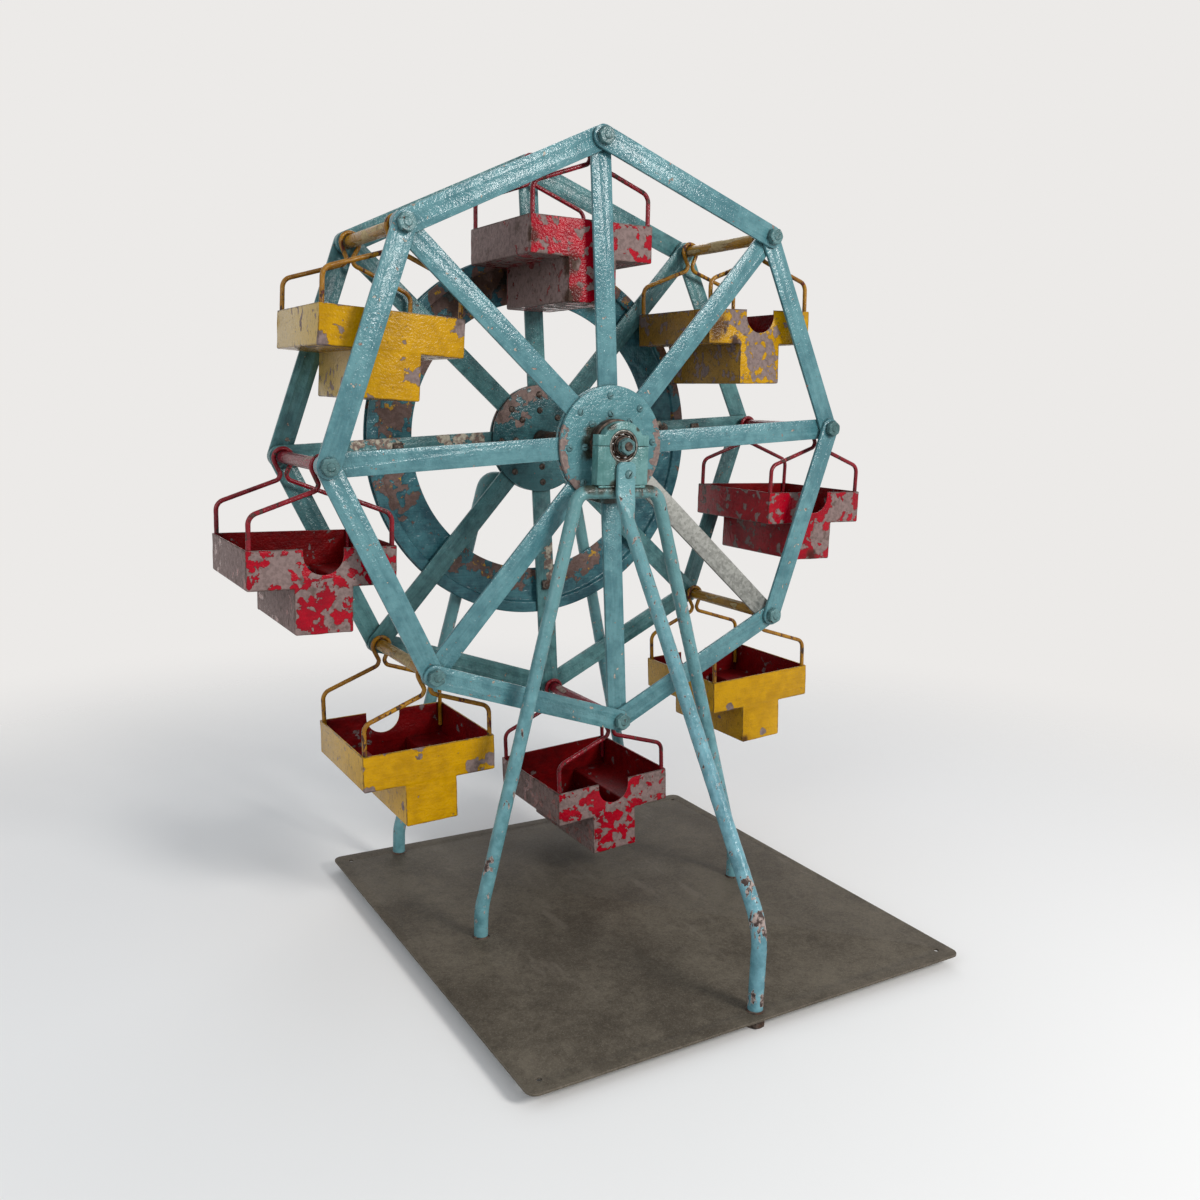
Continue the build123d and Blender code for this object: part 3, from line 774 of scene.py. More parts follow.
# %% Bare steel, bright steel and zinc
def bare_steel(name, light, dark, rough=0.45, metal=0.85, rust="#4b2d1c", rusted=0.6):
    material, at = new_finish(name)
    cloud = speckle(at, 4.0, 5.0)
    fine = speckle(at, 0.8, 3.0)
    stain = step(speckle(at, 5.0, 6.0, 0.65), 0.62 - rusted * 0.16, 0.7 - rusted * 0.12)
    colour = mix(step(cloud, 0.35, 0.65), rgb(dark), rgb(light))
    # darkening where the steel is shut in by corners and nearby parts: grime and painted shade
    darkening = step(nooks(at, 3.0) + fine * 0.4, 0.5, 0.95)
    colour = mix(stain * rusted, colour, rgb(rust))
    colour = mix(darkening * 0.6, colour, rgb("#17120f"))
    bare = metal * (1.0 - stain * rusted * 0.8) * (1.0 - darkening * 0.5)
    rough = rough + cloud * 0.15 + stain * 0.25
    close_finish(at, colour, rough, cloud * (0.08 * MM) + fine * (0.03 * MM), metal=bare)
    return material


dark_steel = bare_steel("dark_steel", "#5d5048", "#2e2620", 0.5, 0.7, rusted=0.8)
screw_steel = bare_steel("screw_steel", "#6a6058", "#3a302a", 0.42, 0.6, rusted=0.7)
race_steel = bare_steel("race_steel", "#8f8e88", "#4b4741", 0.3, 0.8, rusted=0.3)
bright_steel = bare_steel("bright_steel", "#e4e4e1", "#b9b8b4", 0.16, 0.9, rusted=0.0)


def spangled(name):
    material, at = new_finish(name)
    cells = at.node("ShaderNodeTexVoronoi", {"feature": "F1"}, {
        "Vector": at, "Scale": 1.0 / (2.2 * MM)}, "Color")
    shade = at.node("ShaderNodeSeparateXYZ", None, {0: cells}, "X")
    small = speckle(at, 0.9, 4.0, 0.7)
    colour = mix(shade * 0.6 + small * 0.4, rgb("#6b6b66"), rgb("#a9a9a3"))
    darkening = step(small, 0.62, 0.7) * 0.5
    colour = mix(darkening, colour, rgb("#2f2d29"))
    edge = step(nooks(at, 1.0, inside=True), 0.2, 0.5)
    colour = mix(edge * 0.6, colour, rgb("#4a453d"))
    close_finish(at, colour, 0.42 + shade * 0.25, small * (0.06 * MM), metal=0.55)
    return material


zinc = spangled("zinc")
print("mixed four steels and zinc")


# %% [markdown]
# ## Putting a piece in place
#
# Each finished piece is one object at the origin with its place in its mesh, as the packed nodes
# are. It rides on a body and replaces the plain nodes.
# Round pieces are drawn about the origin and lifted to the axle.

# %% Finishing a piece
def piece(name, mesh, body, slot, finish, *nodes, sharp=32.0):
    mesh.name = name
    if finish is not None:
        mesh.materials.clear()
        mesh.materials.append(finish)
    mesh.shade_smooth()
    mesh.set_sharp_from_angle(angle=math.radians(sharp))
    made = bpy.data.objects.new(name, mesh)
    scene.collection.objects.link(made)
    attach(made, body)
    if nodes:
        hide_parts(*nodes)
    print(f"{name}: {len(mesh.polygons)} faces on {body}")
    return made


def axle_piece(name, shape, body, slot, finish, *nodes):
    """A piece whose shape is drawn about the axle."""
    return piece(name, shape.moved(shift(0, 0, AXLE_Z)).mesh(name), body, slot, finish, *nodes)


# %% [markdown]
# ## The wheels
#
# Each wheel is eight spokes and eight rim bars of flat steel, 19 by 3 mm. A spoke is square at the
# hub, where the discs hide it, and round past the cross rod at its other end. The rim bars lie in
# two layers, so that each laps over its neighbours. One bar of each kind is drawn along x, and
# the ring tree sets the rest.

# %% Bars
def bar_outline(start, end, round_start):
    half = BAR_WIDTH / 2
    tip = [Vector((end, 0)) + Vector(polar(half, a)) for a in range(-90, 91, 10)]
    if round_start:
        return tip + [Vector((start, 0)) + Vector(polar(half, a)) for a in range(90, 271, 10)]
    return tip + [Vector((start, half)), Vector((start, -half))]


def spoke(y):
    hole = circle(WHEEL_R, 0, TIE_ROD_D / 2 + 0.1, 24)
    return cut(bar_outline(SPOKE_START_R, WHEEL_R, False), y, BAR_THICK, [hole])


def rim_bar(y):
    half = WHEEL_R * math.sin(math.pi / NODE_COUNT)
    holes = [circle(x, 0, TIE_ROD_D / 2 + 0.1, 24) for x in (-half, half)]
    bar = cut(bar_outline(-half, half, True), y, BAR_THICK, holes)
    return bar.moved(shift(math.sqrt(WHEEL_R**2 - half**2), 0, 0) @ turn(90))


print("a spoke has", len(spoke(0).faces), "faces and a rim bar", len(rim_bar(0).faces))


# %% The front wheel's bars
front_spoke_y = low("bare_spoke").y
front_first_y = low("front_rim_bars").y
bars = round_the_axle(spoke(front_spoke_y), teal_bars, NODE_COUNT - 1,
                      first=node_angle(BARE_SPOKE + 1), apart=360.0 / NODE_COUNT)
piece("front_spoke_bars", bars, "wheel", "teal_paint", teal_bars, "front_spokes")
bars = round_the_axle(spoke(front_spoke_y), zinc, 1, first=node_angle(BARE_SPOKE))
piece("replaced_spoke_bar", bars, "wheel", "galvanised", zinc, "bare_spoke")


def rim_bars_of_wheel(name, odd_y, even_y, finish, node):
    bars = [round_the_axle(rim_bar(y), finish, NODE_COUNT // 2, first=node_angle(halfway))
            for y, halfway in ((odd_y, 1.5), (even_y, 2.5))]
    piece(name, merged(name, bars), "wheel", "teal_paint", finish, node)


rim_bars_of_wheel("front_rim_of_bars", front_first_y, front_first_y + BAR_THICK, teal_bars,
                  "front_rim_bars")

# %% The rear wheel's bars, peeled to the cream coat near the hub
REAR_TEAL = dict(paint="#578586", shade="#3a6063", primer="#766259", under="#b9b19e")
rear_spoke_y = low("rear_spokes").y
rear_rim_end = high("rear_rim_bars").y
# where the coat has peeled: the spoke, how far off its middle, the patches' size and their places
PEELED = ((3, 4, 17, (62, 76, 92, 108, 124, 140)), (7, -3, 15, (66, 82, 98, 150, 166, 182)),
          (5, 3, 13, (112, 126, 138, 160)))
peeled = [(on_wheel(r, node_angle(node) + off, rear_spoke_y), size)
          for node, off, size, radii in PEELED for r in radii]
teal_rear = brushed_paint("teal_rear", **REAR_TEAL, hold=0.69, chip_size=6.0, bare=peeled, grime_and_shade=0.8)
bars = round_the_axle(spoke(rear_spoke_y), teal_rear, first=node_angle(1))
piece("rear_spoke_bars", bars, "wheel", "teal_paint", teal_rear, "rear_spokes")
rim_bars_of_wheel("rear_rim_of_bars", rear_rim_end - BAR_THICK, rear_rim_end - 2 * BAR_THICK,
                  teal_rear, "rear_rim_bars")

# %% [markdown]
# ## The hubs
#
# Two discs clamp each wheel's spokes. The front one has lost its paint in two crescents, at its
# right edge and low on its left, and the rear one at its upper left. The patches are given as
# places on the disc; noise frays their edges.

# %% Hub discs
DISC_THICK = 3.0
SLEEVE_D = 15.0


def crescent(y, start, end, radius, size, steps=5):
    angles = [start + (end - start) * i / (steps - 1) for i in range(steps)]
    return [(on_wheel(radius, a, y), size) for a in angles]


front_disc_y = low("front_hub_discs").y
front_worn = crescent(front_disc_y, 22, -52, 51, 14, 7) + crescent(front_disc_y, 168, 240, 51, 12, 7)
# painted shadow and soot: the front disc is darkened low down, under the frame, and on its left by the
# block
disc_shadow_and_soot = crescent(front_disc_y, 250, 290, 50, 16, 3)
disc_shadow_and_soot += crescent(front_disc_y, 150, 200, 24, 12, 3)
rear_disc_y = low("rear_hub_discs").y
rear_worn = crescent(rear_disc_y, 92, 150, 46, 18, 6) + crescent(rear_disc_y, 128, 150, 27, 9, 2)
teal_front_disc = brushed_paint("teal_front_disc", **TEAL, hold=0.70, bare=front_worn, sooty_and_shaded=disc_shadow_and_soot,
                                chip_size=7.0, gloss=0.13)
# painted shade: the rear disc's teal is mixed much darker than the front disc's, for the shaded rear
# hub
teal_rear_disc = brushed_paint("teal_rear_disc", "#406d71", "#27474b", "#6f5a54", "#806a62",
                               hold=0.70, bare=rear_worn, chip_size=7.0, grime_and_shade=0.9, gloss=0.14)
for name, node, finish in (("front_discs", "front_hub_discs", teal_front_disc),
                           ("rear_discs", "rear_hub_discs", teal_rear_disc)):
    discs = joined(ring(SLEEVE_D, 2 * DISC_R, y, DISC_THICK, steps=128)
                   for y in (low(node).y, high(node).y - DISC_THICK))
    axle_piece(name, discs, "wheel", "teal_paint", finish, node)

# %% Bosses
BOSS_D = 45.0
boss_y = (low("hub_bosses").y, high("hub_bosses").y)
boss_thick = front_disc_y - boss_y[0]
bosses = joined(ring(SLEEVE_D, BOSS_D, y, boss_thick) for y in (boss_y[0], boss_y[1] - boss_thick))
axle_piece("bosses", bosses, "wheel", "dark_steel", dark_steel, "hub_bosses")

# %% [markdown]
# ## Screws through the discs
#
# Slotted round-head screws stand in two circles, one pair on each spoke. Their slots point every
# way, which the ring tree's loose turn gives with a fixed seed. The front ones are painted over
# with the disc, the rear ones are bare and brown.

# %% Hub screws
SCREW_CIRCLES = (42.0, 27.0)
hub_screw = screw_head(6.2, 2.3, 1.0, 0.9)
teal_screws = brushed_paint("teal_screws", "#6a9193", "#4d7275", "#3a2f29", "#57483e", hold=0.75,
                            grime_and_shade=0.9)
for name, y, finish, slot in (("front_disc_screws", front_disc_y, teal_screws, "teal_paint"),
                              ("rear_disc_screws", rear_disc_y, screw_steel, "dark_steel")):
    circles = [round_the_axle(hub_screw, finish, radius=radius, first=node_angle(1), y=y, loose=90,
                              seed=seed) for seed, radius in enumerate(SCREW_CIRCLES)]
    piece(name, merged(name, circles), "wheel", slot, finish)

# %% [markdown]
# ## Cross rods
#
# A rod with a nut at each end ties the two wheels together at each node, and a coloured tube on it
# carries the gondola: red at the odd nodes, yellow at the even ones. Where the hangers rub, the
# tubes are worn to pale primer.

# %% Nuts and rod ends
NUT_HEIGHT = 5.5
front_nut_y = front_first_y - NUT_HEIGHT
node_nut = nut(NUT_ACROSS, NUT_HEIGHT, TIE_ROD_D)
for name, y, node in (("front_nuts", front_nut_y, "front_node_nuts"),
                      ("rear_nuts", rear_rim_end, "rear_node_nuts")):
    nuts = round_the_axle(node_nut, teal_nuts, radius=WHEEL_R, first=node_angle(1), y=y, loose=30,
                          seed=7)
    piece(name, nuts, "wheel", "teal_paint", teal_nuts, node)

THREAD_DEPTH = 0.35
TIP_BEVEL = 0.9


def thread(diameter, y, length, pitch=1.0):
    """A threaded end: a ridge each pitch and a bevelled tip."""
    radius = diameter / 2
    turns = max(1, round(length / pitch))
    ridge = [(radius - THREAD_DEPTH * (i % 2), y + length * i / (2 * turns))
             for i in range(2 * turns + 1)]
    return turned([(0.0, y), (radius - TIP_BEVEL, y)] + ridge[1:] + [(0.0, y + length)], 32)


def threads(diameter, ys, length, pitch=1.0):
    """A thread at both ends of a bar that lies along y."""
    about = shift(0, ys[1], 0) @ Matrix.Rotation(math.pi, 4, "Z")
    return thread(diameter, ys[0], length, pitch) + thread(diameter, 0, length, pitch).moved(about)


rod_y = (low("tie_rods").y, high("tie_rods").y)
rod_end = front_nut_y - rod_y[0] + NUT_HEIGHT
shank = ring(0.0, TIE_ROD_D, rod_y[0] + rod_end, rod_y[1] - rod_y[0] - 2 * rod_end, 0.2, 32)
rods = round_the_axle(shank, dark_steel, radius=WHEEL_R, first=node_angle(1))
piece("cross_rods", rods, "wheel", "dark_steel", dark_steel, "tie_rods")
ends = threads(TIE_ROD_D, rod_y, rod_end)
ends = round_the_axle(ends, teal_nuts, radius=WHEEL_R, first=node_angle(1))
piece("cross_rod_ends", ends, "wheel", "teal_paint", teal_nuts)

# %% Cross tubes
TUBES = dict(brushed="tube", chip_size=7.0, outline="#4a3520", grime_and_shade=0.5)
red_tube = brushed_paint("red_tube", "#86202f", "#6b1722", "#8f746c", "#a88f86", hold=0.58,
                         **TUBES)
yellow_tube = brushed_paint("yellow_tube", "#ad7f24", "#8d631b", "#b9a273", "#a08a5e", hold=0.52,
                            **TUBES)
tube_y = (low("red_cross_tubes").y, high("red_cross_tubes").y)
tube = ring(TIE_ROD_D + 0.2, TUBE_D, tube_y[0], tube_y[1] - tube_y[0], 0.5, 40)
for first, colour, finish in ((1, "red", red_tube), (2, "yellow", yellow_tube)):
    tubes = round_the_axle(tube, finish, NODE_COUNT // 2, radius=WHEEL_R, first=node_angle(first))
    piece(f"{colour}_tubes", tubes, "wheel", f"{colour}_paint", finish, f"{colour}_cross_tubes")

# %% [markdown]
# ## The drive rim
#
# Behind the rear spokes is a pulley rim: a flat ring with a channel round it. Its profile is drawn
# once, with the inner corner filled by paint, and turned. This is the most battered piece: the
# teal has come off in sheets, down to a brown primer with flecks of an older yellow.

# %% Drive rim
rim_r = (high("drive_rim").x - low("drive_rim").x) / 2
rim_y = (low("drive_rim").y, high("drive_rim").y)
RIM_BORE_R = 128.0
RIM_GROOVE = 9.0
RIM_WALL = 2.0
floor_r = rim_r - RIM_GROOVE
web_y = rim_y[0] + 4.5
corners = [
    (RIM_BORE_R, web_y), (floor_r - RIM_WALL, web_y), (floor_r - RIM_WALL, rim_y[0]), (rim_r, rim_y[0]),
    (rim_r, rim_y[0] + RIM_WALL), (floor_r, rim_y[0] + RIM_WALL), (floor_r, rim_y[1] - RIM_WALL),
    (rim_r, rim_y[1] - RIM_WALL), (rim_r, rim_y[1]), (floor_r - RIM_WALL, rim_y[1]),
    (floor_r - RIM_WALL, web_y + RIM_WALL), (RIM_BORE_R, web_y + RIM_WALL)]
rounds = [0.7, 1.8, 1.6, 0.9, 0.7, 1.0, 1.0, 0.7, 0.9, 1.2, 1.5, 0.7]
rim = turned(eased(corners, rounds, closed=True, step=25), 256)
worn_rim = crescent(web_y, 236, 300, 136, 21, 9) + crescent(web_y, 152, 172, 148, 32, 4)
worn_rim += crescent(web_y, 188, 208, 152, 19, 5) + crescent(web_y, 88, 148, 148, 34, 8)
worn_rim += crescent(rim_y[0], 10, 80, rim_r - 3, 12, 12)
# painted shadow and soot: the top of the rim's web is darkened where the front wheel shades it
rim_shadow_and_soot = crescent(web_y, 66, 124, 150, 26, 7)
teal_rim = brushed_paint("teal_rim", "#43757c", "#274f59", "#5d4740", "#6d564f", hold=0.66,
                         bare=worn_rim, sooty_and_shaded=rim_shadow_and_soot, chip_size=13.0, gloss=0.1, lumps=0.5,
                         lump_size=7.0, fleck="#b0841d")
axle_piece("pulley_rim", rim, "wheel", "teal_paint", teal_rim, "drive_rim")

# %% Bolts that carry the rim
SPACER_R = 144.5
SPACER_D = 9.0
spacer_y = (low("drive_rim_spacers").y, high("drive_rim_spacers").y)
spacer = ring(0.0, SPACER_D, spacer_y[0], spacer_y[1] - spacer_y[0], 0.3, 32)
spacers = round_the_axle(spacer, dark_steel, 4, radius=SPACER_R, first=node_angle(1))
piece("rim_spacers", spacers, "wheel", "dark_steel", dark_steel, "drive_rim_spacers")
RIM_NUT_ACROSS = 9.0
RIM_NUT_H = 3.0
RIM_BOLT_D = 5.0
square_nut = nut(RIM_NUT_ACROSS, RIM_NUT_H, RIM_BOLT_D, sides=4)
square_nut += ring(0.0, RIM_BOLT_D, -1.0, RIM_NUT_H + 1.0, 0.5, 24)
square_nut = square_nut.moved(shift(0, rear_spoke_y - RIM_NUT_H, 0) @ turn(45))
rim_nuts = round_the_axle(square_nut, screw_steel, 4, radius=SPACER_R, first=node_angle(1))
piece("rim_bolt_nuts", rim_nuts, "wheel", "dark_steel", screw_steel)
EXTRA_BOLT_R = 184.0
extra_nut = round_the_axle(square_nut, screw_steel, 1, radius=EXTRA_BOLT_R, first=node_angle(3))
piece("extra_bolt_nut", extra_nut, "wheel", "dark_steel", screw_steel)

# %% [markdown]
# ## Bearings and axle
#
# The axle turns in two ball bearings, each clamped in a block that is split level with the axle.
# The block's arch, its shoulders and the split are what give it its look; the races are turned and
# the balls set round by the ring tree.

# %% Bearing blocks
BLOCK_HALF = 25.4
BLOCK_SHOULDER = 9.5
BLOCK_ARCH_R = 21.0
BEARING_R = 14.0
SPLIT_HALF = 0.15


def seat_arc(radius, gap, start_angle, end_angle, steps=24):
    trim = math.degrees(math.asin(gap / radius))
    start, end = start_angle + trim, end_angle - trim
    return [Vector(polar(radius, start + (end - start) * i / steps)) for i in range(steps + 1)]


def cap_outline():
    rise = math.degrees(math.asin(BLOCK_SHOULDER / BLOCK_ARCH_R))
    arch = [Vector(polar(BLOCK_ARCH_R, rise + (180 - 2 * rise) * i / 32)) for i in range(33)]
    right = [Vector((BLOCK_HALF, SPLIT_HALF)), Vector((BLOCK_HALF, BLOCK_SHOULDER))]
    left = [Vector((-BLOCK_HALF, BLOCK_SHOULDER)), Vector((-BLOCK_HALF, SPLIT_HALF))]
    return right + arch + left + seat_arc(BEARING_R, SPLIT_HALF, 0, 180)[::-1]


def base_outline(drop):
    box = [Vector((-BLOCK_HALF, -SPLIT_HALF)), Vector((-BLOCK_HALF, -drop)),
           Vector((BLOCK_HALF, -drop)), Vector((BLOCK_HALF, -SPLIT_HALF))]
    return box + [Vector((p.x, -p.y)) for p in seat_arc(BEARING_R, SPLIT_HALF, 0, 180)]


block_y = (low("bearing_blocks").y, high("bearing_blocks").y)
BLOCK_THICK = 10.0
block_drop = AXLE_Z - low("bearing_blocks").z
for name, outline, node in (("block_bases", base_outline(block_drop), "bearing_blocks"),
                            ("block_caps", cap_outline(), "bearing_caps")):
    halves = joined(cut(outline, y, BLOCK_THICK, ease=0.7)
                    for y in (block_y[0], block_y[1] - BLOCK_THICK))
    axle_piece(name, halves, "stand", "teal_paint", teal_blocks, node)

# %% Races and balls
RACE_WALL = 1.8
BEARING_WIDTH = 8.0
BEARING_BORE = 12.0
race_ys = (block_y[0], block_y[1] - BEARING_WIDTH)
for name, body, bore, rim, ease in (
        ("outer_races", "stand", 2 * (BEARING_R - RACE_WALL), 2 * BEARING_R - 0.1, 0.5),
        ("inner_races", "wheel", BEARING_BORE, BEARING_BORE + 2 * RACE_WALL, 0.4)):
    races = joined(ring(bore, rim, y, BEARING_WIDTH, ease) for y in race_ys)
    axle_piece(name, races, body, "bearing_steel", race_steel, f"bearing_{name}")
BALL_COUNT = 9
CAGE_INSET = 1.1
CAGE_THICK = 0.6
cage_rings = ((BEARING_BORE / 2 + RACE_WALL + 0.4, 9.5), (10.7, BEARING_R - RACE_WALL - 0.2))
cages = joined(ring(2 * bore, 2 * rim, y + CAGE_INSET, CAGE_THICK, 0.15)
               for y in race_ys for bore, rim in cage_rings)
axle_piece("bearing_cages", cages, "wheel", "dark_steel", dark_steel)
ball_r = (BEARING_R - RACE_WALL - BEARING_BORE / 2 - RACE_WALL) / 2 - 0.05
ball_circle = (2 * BEARING_R + BEARING_BORE) / 4
tilts = [math.radians(a) for a in range(0, 181, 15)]
ball = turned([(ball_r * math.sin(tilt), -ball_r * math.cos(tilt)) for tilt in tilts], 20)
balls = merged("balls", [round_the_axle(ball, bright_steel, BALL_COUNT, ball_circle, 10.0,
                                        y + BEARING_WIDTH / 2) for y in race_ys])
piece("balls", balls, "wheel", "bearing_steel", bright_steel, "bearing_balls")

# %% Axle, washers and nuts
AXLE_THREAD_D = 8.0
COARSE_PITCH = 1.25
AXLE_NUT_H = 6.5
WASHER_D = 16.0
WASHER_T = 1.2
axle_y = (low("axle").y, high("axle").y)
stub = block_y[0] - axle_y[0]
sleeve_y = (race_ys[0] + BEARING_WIDTH, race_ys[1])
axle = ring(0.0, SLEEVE_D, sleeve_y[0], sleeve_y[1] - sleeve_y[0], 0.3, 48)
axle += ring(0.0, BEARING_BORE, block_y[0], sleeve_y[0] - block_y[0], 0.2, 48)
axle += ring(0.0, BEARING_BORE, sleeve_y[1], block_y[1] - sleeve_y[1], 0.2, 48)
axle += threads(AXLE_THREAD_D, axle_y, stub, COARSE_PITCH)
axle_piece("axle_bar", axle, "wheel", "dark_steel", dark_steel, "axle")
washers = joined(ring(AXLE_THREAD_D, WASHER_D, y, WASHER_T, 0.25, 48)
                 for y in (block_y[0] - WASHER_T, block_y[1]))
axle_piece("washers", washers, "wheel", "dark_steel", dark_steel, "axle_washers")
end_nut = nut(NUT_ACROSS, AXLE_NUT_H, AXLE_THREAD_D)
end_nuts = joined(end_nut.moved(shift(0, y, 0) @ turn(30))
                  for y in (block_y[0] - WASHER_T - AXLE_NUT_H, block_y[1] + WASHER_T))
axle_piece("end_nuts", end_nuts, "wheel", "teal_paint", teal_nuts, "axle_nuts")

# %% [markdown]
# ## The stand
#
# The front and rear frames are each one rod bent into an A, and a third leg braces the front. The
# brace's top was hammered flat and screwed to the block, so its section changes from a circle to
# a thin rounded rectangle: a loft between outlines does that. The front frame meets its bearing
# block along a lumpy weld.

# %% Frames
ROD_D = 12.0
foot_half = (high("front_frame").x - low("front_frame").x - ROD_D) / 2
KNEE_RISE = 24.0
KNEE_R = 55.0
TOP_R = 13.0
TOP_GAP = 0.15 + ROD_D / 2
top_z = low("bearing_blocks").z - TOP_GAP


def frame_line(foot_y, top_y, top_half):
    left = [(-foot_half, foot_y, PLATE_TOP), (-foot_half, foot_y, PLATE_TOP + KNEE_RISE),
            (-top_half, top_y, top_z)]
    right = [(-x, y, z) for x, y, z in reversed(left)]
    return left + right, [0.0, KNEE_R, TOP_R, TOP_R, KNEE_R, 0.0]


FRONT_FOOT_Y = 1.0
REAR_FOOT_Y = 194.5
FRONT_TOP_HALF = 40.0
REAR_TOP_HALF = 48.0
front_line = frame_line(FRONT_FOOT_Y, block_y[0] + TOP_GAP, FRONT_TOP_HALF)
rear_line = frame_line(REAR_FOOT_Y, block_y[1] - TOP_GAP, REAR_TOP_HALF)
BRACE_X = 1.5
BRACE_FOOT_Y = low("front_brace").y + ROD_D / 2
BRACE_KNEE_RISE = 66.0
chipped_frames = [((foot_half, REAR_FOOT_Y, 60), 20), ((-foot_half, FRONT_FOOT_Y, 75), 14)]
chipped_brace = [((BRACE_X, BRACE_FOOT_Y + back, z), size)
                 for back, z, size in ((0, 80, 15), (8, 110, 16), (25, 150, 13), (0, 22, 12))]
rusty_top = [((x, block_y[0] + 3, top_z + 5), 13) for x in range(-30, 31, 10)]
rusty_top += [((x, block_y[0], AXLE_Z + z), size) for x, z, size in ((-12, 17, 7), (8, 20, 4))]
CHIPPED = dict(primer="#3d2e2a", under="#a8968e", hold=0.645, chip_size=3.4, brushed="upright",
               grime_and_shade=0.8, outline="#c9c4bd", lump_size=2.6)
# painted light: low down the rods keep a bluer teal standing for the cool light from the left; from 150
# to 370 mm up they turn most of the way to a greener teal
teal_frames = brushed_paint("teal_frames", "#6f9fa5", "#4f7d83", **CHIPPED, bare=chipped_frames,
                            sooty_and_shaded=rusty_top, higher=(150, 370, "#648f8f"))
teal_brace = brushed_paint("teal_brace", "#74a5b0", "#527f89", **CHIPPED, bare=chipped_brace,
                           higher=(150, 370, "#669394"))
for node, line in (("front_frame", front_line), ("rear_frame", rear_line)):
    rod = bent_rods([line], ROD_D, teal_frames, 28)
    piece(f"{node}_rod", rod, "stand", "teal_paint", None, node, sharp=60)

# %% Brace: a rod whose top is hammered flat
STRAP_HALF = 9.0
STRAP_THICK = 5.0
STRAP_NECK = 24.0
STRAP_LENGTH = 26.0
STRAP_CORNER = 5.0
strap_y = block_y[0] - STRAP_THICK / 2
strap_top = high("front_brace").z
neck = Vector((BRACE_X, strap_y - ROD_D / 2, strap_top - STRAP_LENGTH - STRAP_NECK))
knee = Vector((BRACE_X, BRACE_FOOT_Y, PLATE_TOP + BRACE_KNEE_RISE))
foot = Vector((BRACE_X, BRACE_FOOT_Y, PLATE_TOP))


def section_ring(centre, lean, half_x, half_y, square, steps=28):
    """One outline of the loft: an ellipse that gets squarer as square grows from 2."""
    points = []
    for i in range(steps):
        c, s = math.cos(2 * math.pi * i / steps), math.sin(2 * math.pi * i / steps)
        x = half_x * math.copysign(abs(c) ** (2 / square), c)
        y = half_y * math.copysign(abs(s) ** (2 / square), s)
        points.append(centre + Vector((x, y * math.cos(lean), -y * math.sin(lean))))
    return points


def loft(rings):
    size = len(rings[0])
    faces = [list(range(size)), [(len(rings) - 1) * size + i for i in reversed(range(size))]]
    for here in range(0, (len(rings) - 1) * size, size):
        for i in range(size):
            beside = (i + 1) % size
            faces.append([here + i, here + beside, here + size + beside, here + size + i])
    return Shape([p for outline in rings for p in outline], faces)


def hammered_strap():
    slope = (neck - knee).normalized()
    lean = math.atan2(slope.y, slope.z)
    rings = []
    flat_start = Vector((BRACE_X, strap_y, strap_top - STRAP_LENGTH))
    for i in range(13):
        share = i / 12
        smooth = share * share * (3 - 2 * share)
        half_x = ROD_D / 2 + (STRAP_HALF - ROD_D / 2) * smooth
        half_y = ROD_D / 2 + (STRAP_THICK / 2 - ROD_D / 2) * smooth
        centre, square = neck.lerp(flat_start, share), 2 + 3.5 * smooth
        rings.append(section_ring(centre, lean * (1 - smooth), half_x, half_y, square))
    for tilt in (math.radians(a) for a in range(0, 91, 15)):
        rise = STRAP_LENGTH - STRAP_CORNER + STRAP_CORNER * math.sin(tilt)
        half_x = STRAP_HALF - STRAP_CORNER * (1 - math.cos(tilt))
        rings.append(section_ring(flat_start + Vector((0, 0, rise)), 0.0, half_x, STRAP_THICK / 2, 5.5))
    return loft(rings)


brace_leg = bent_rods([([foot, knee, neck], [0.0, KNEE_R, 0.0])], ROD_D, teal_brace, 28)
brace = merged("brace_rod", [brace_leg, hammered_strap().mesh("strap")])
piece("brace_rod", brace, "stand", "teal_paint", teal_brace, "front_brace", sharp=60)

# %% Strap screw and welds
STRAP_SCREW_DROP = 23.5
WELD_D = 3.2
WELD_HALF = 23.5
strap_screw = screw_head(7.7, 2.6, 1.2, 1.1)
screw_place = Vector((3.0, block_y[0] - STRAP_THICK, AXLE_Z - STRAP_SCREW_DROP))
strap_screw.transform(Matrix.Translation(screw_place * MM) @ turn(-35))
piece("strap_screw", strap_screw, "stand", "teal_paint", teal_nuts)
weld_z = low("bearing_blocks").z - 1.3
weld_ys = [block_y[0] + 1.4, block_y[0] + BLOCK_THICK - 0.6, block_y[1] - 1.4,
           block_y[1] - BLOCK_THICK + 0.6]
weld_lines = [([(-WELD_HALF, y, weld_z), (WELD_HALF, y, weld_z)], [0.0, 0.0]) for y in weld_ys]
welds = bent_rods(weld_lines, WELD_D, teal_blocks, 12, 1.0, 2.2, 3.5)
piece("block_welds", welds, "stand", "teal_paint", None, sharp=60)

# %% [markdown]
# ## Base plate and feet
#
# The base is a sheet of steel with a thin dark paint, mottled and rubbed, and a pale line along its
# edge where it is worn. A stud under each rod goes through it into a nut, and these five nuts are
# what the toy stands on. Round each rod's foot the paint has made a small collar.

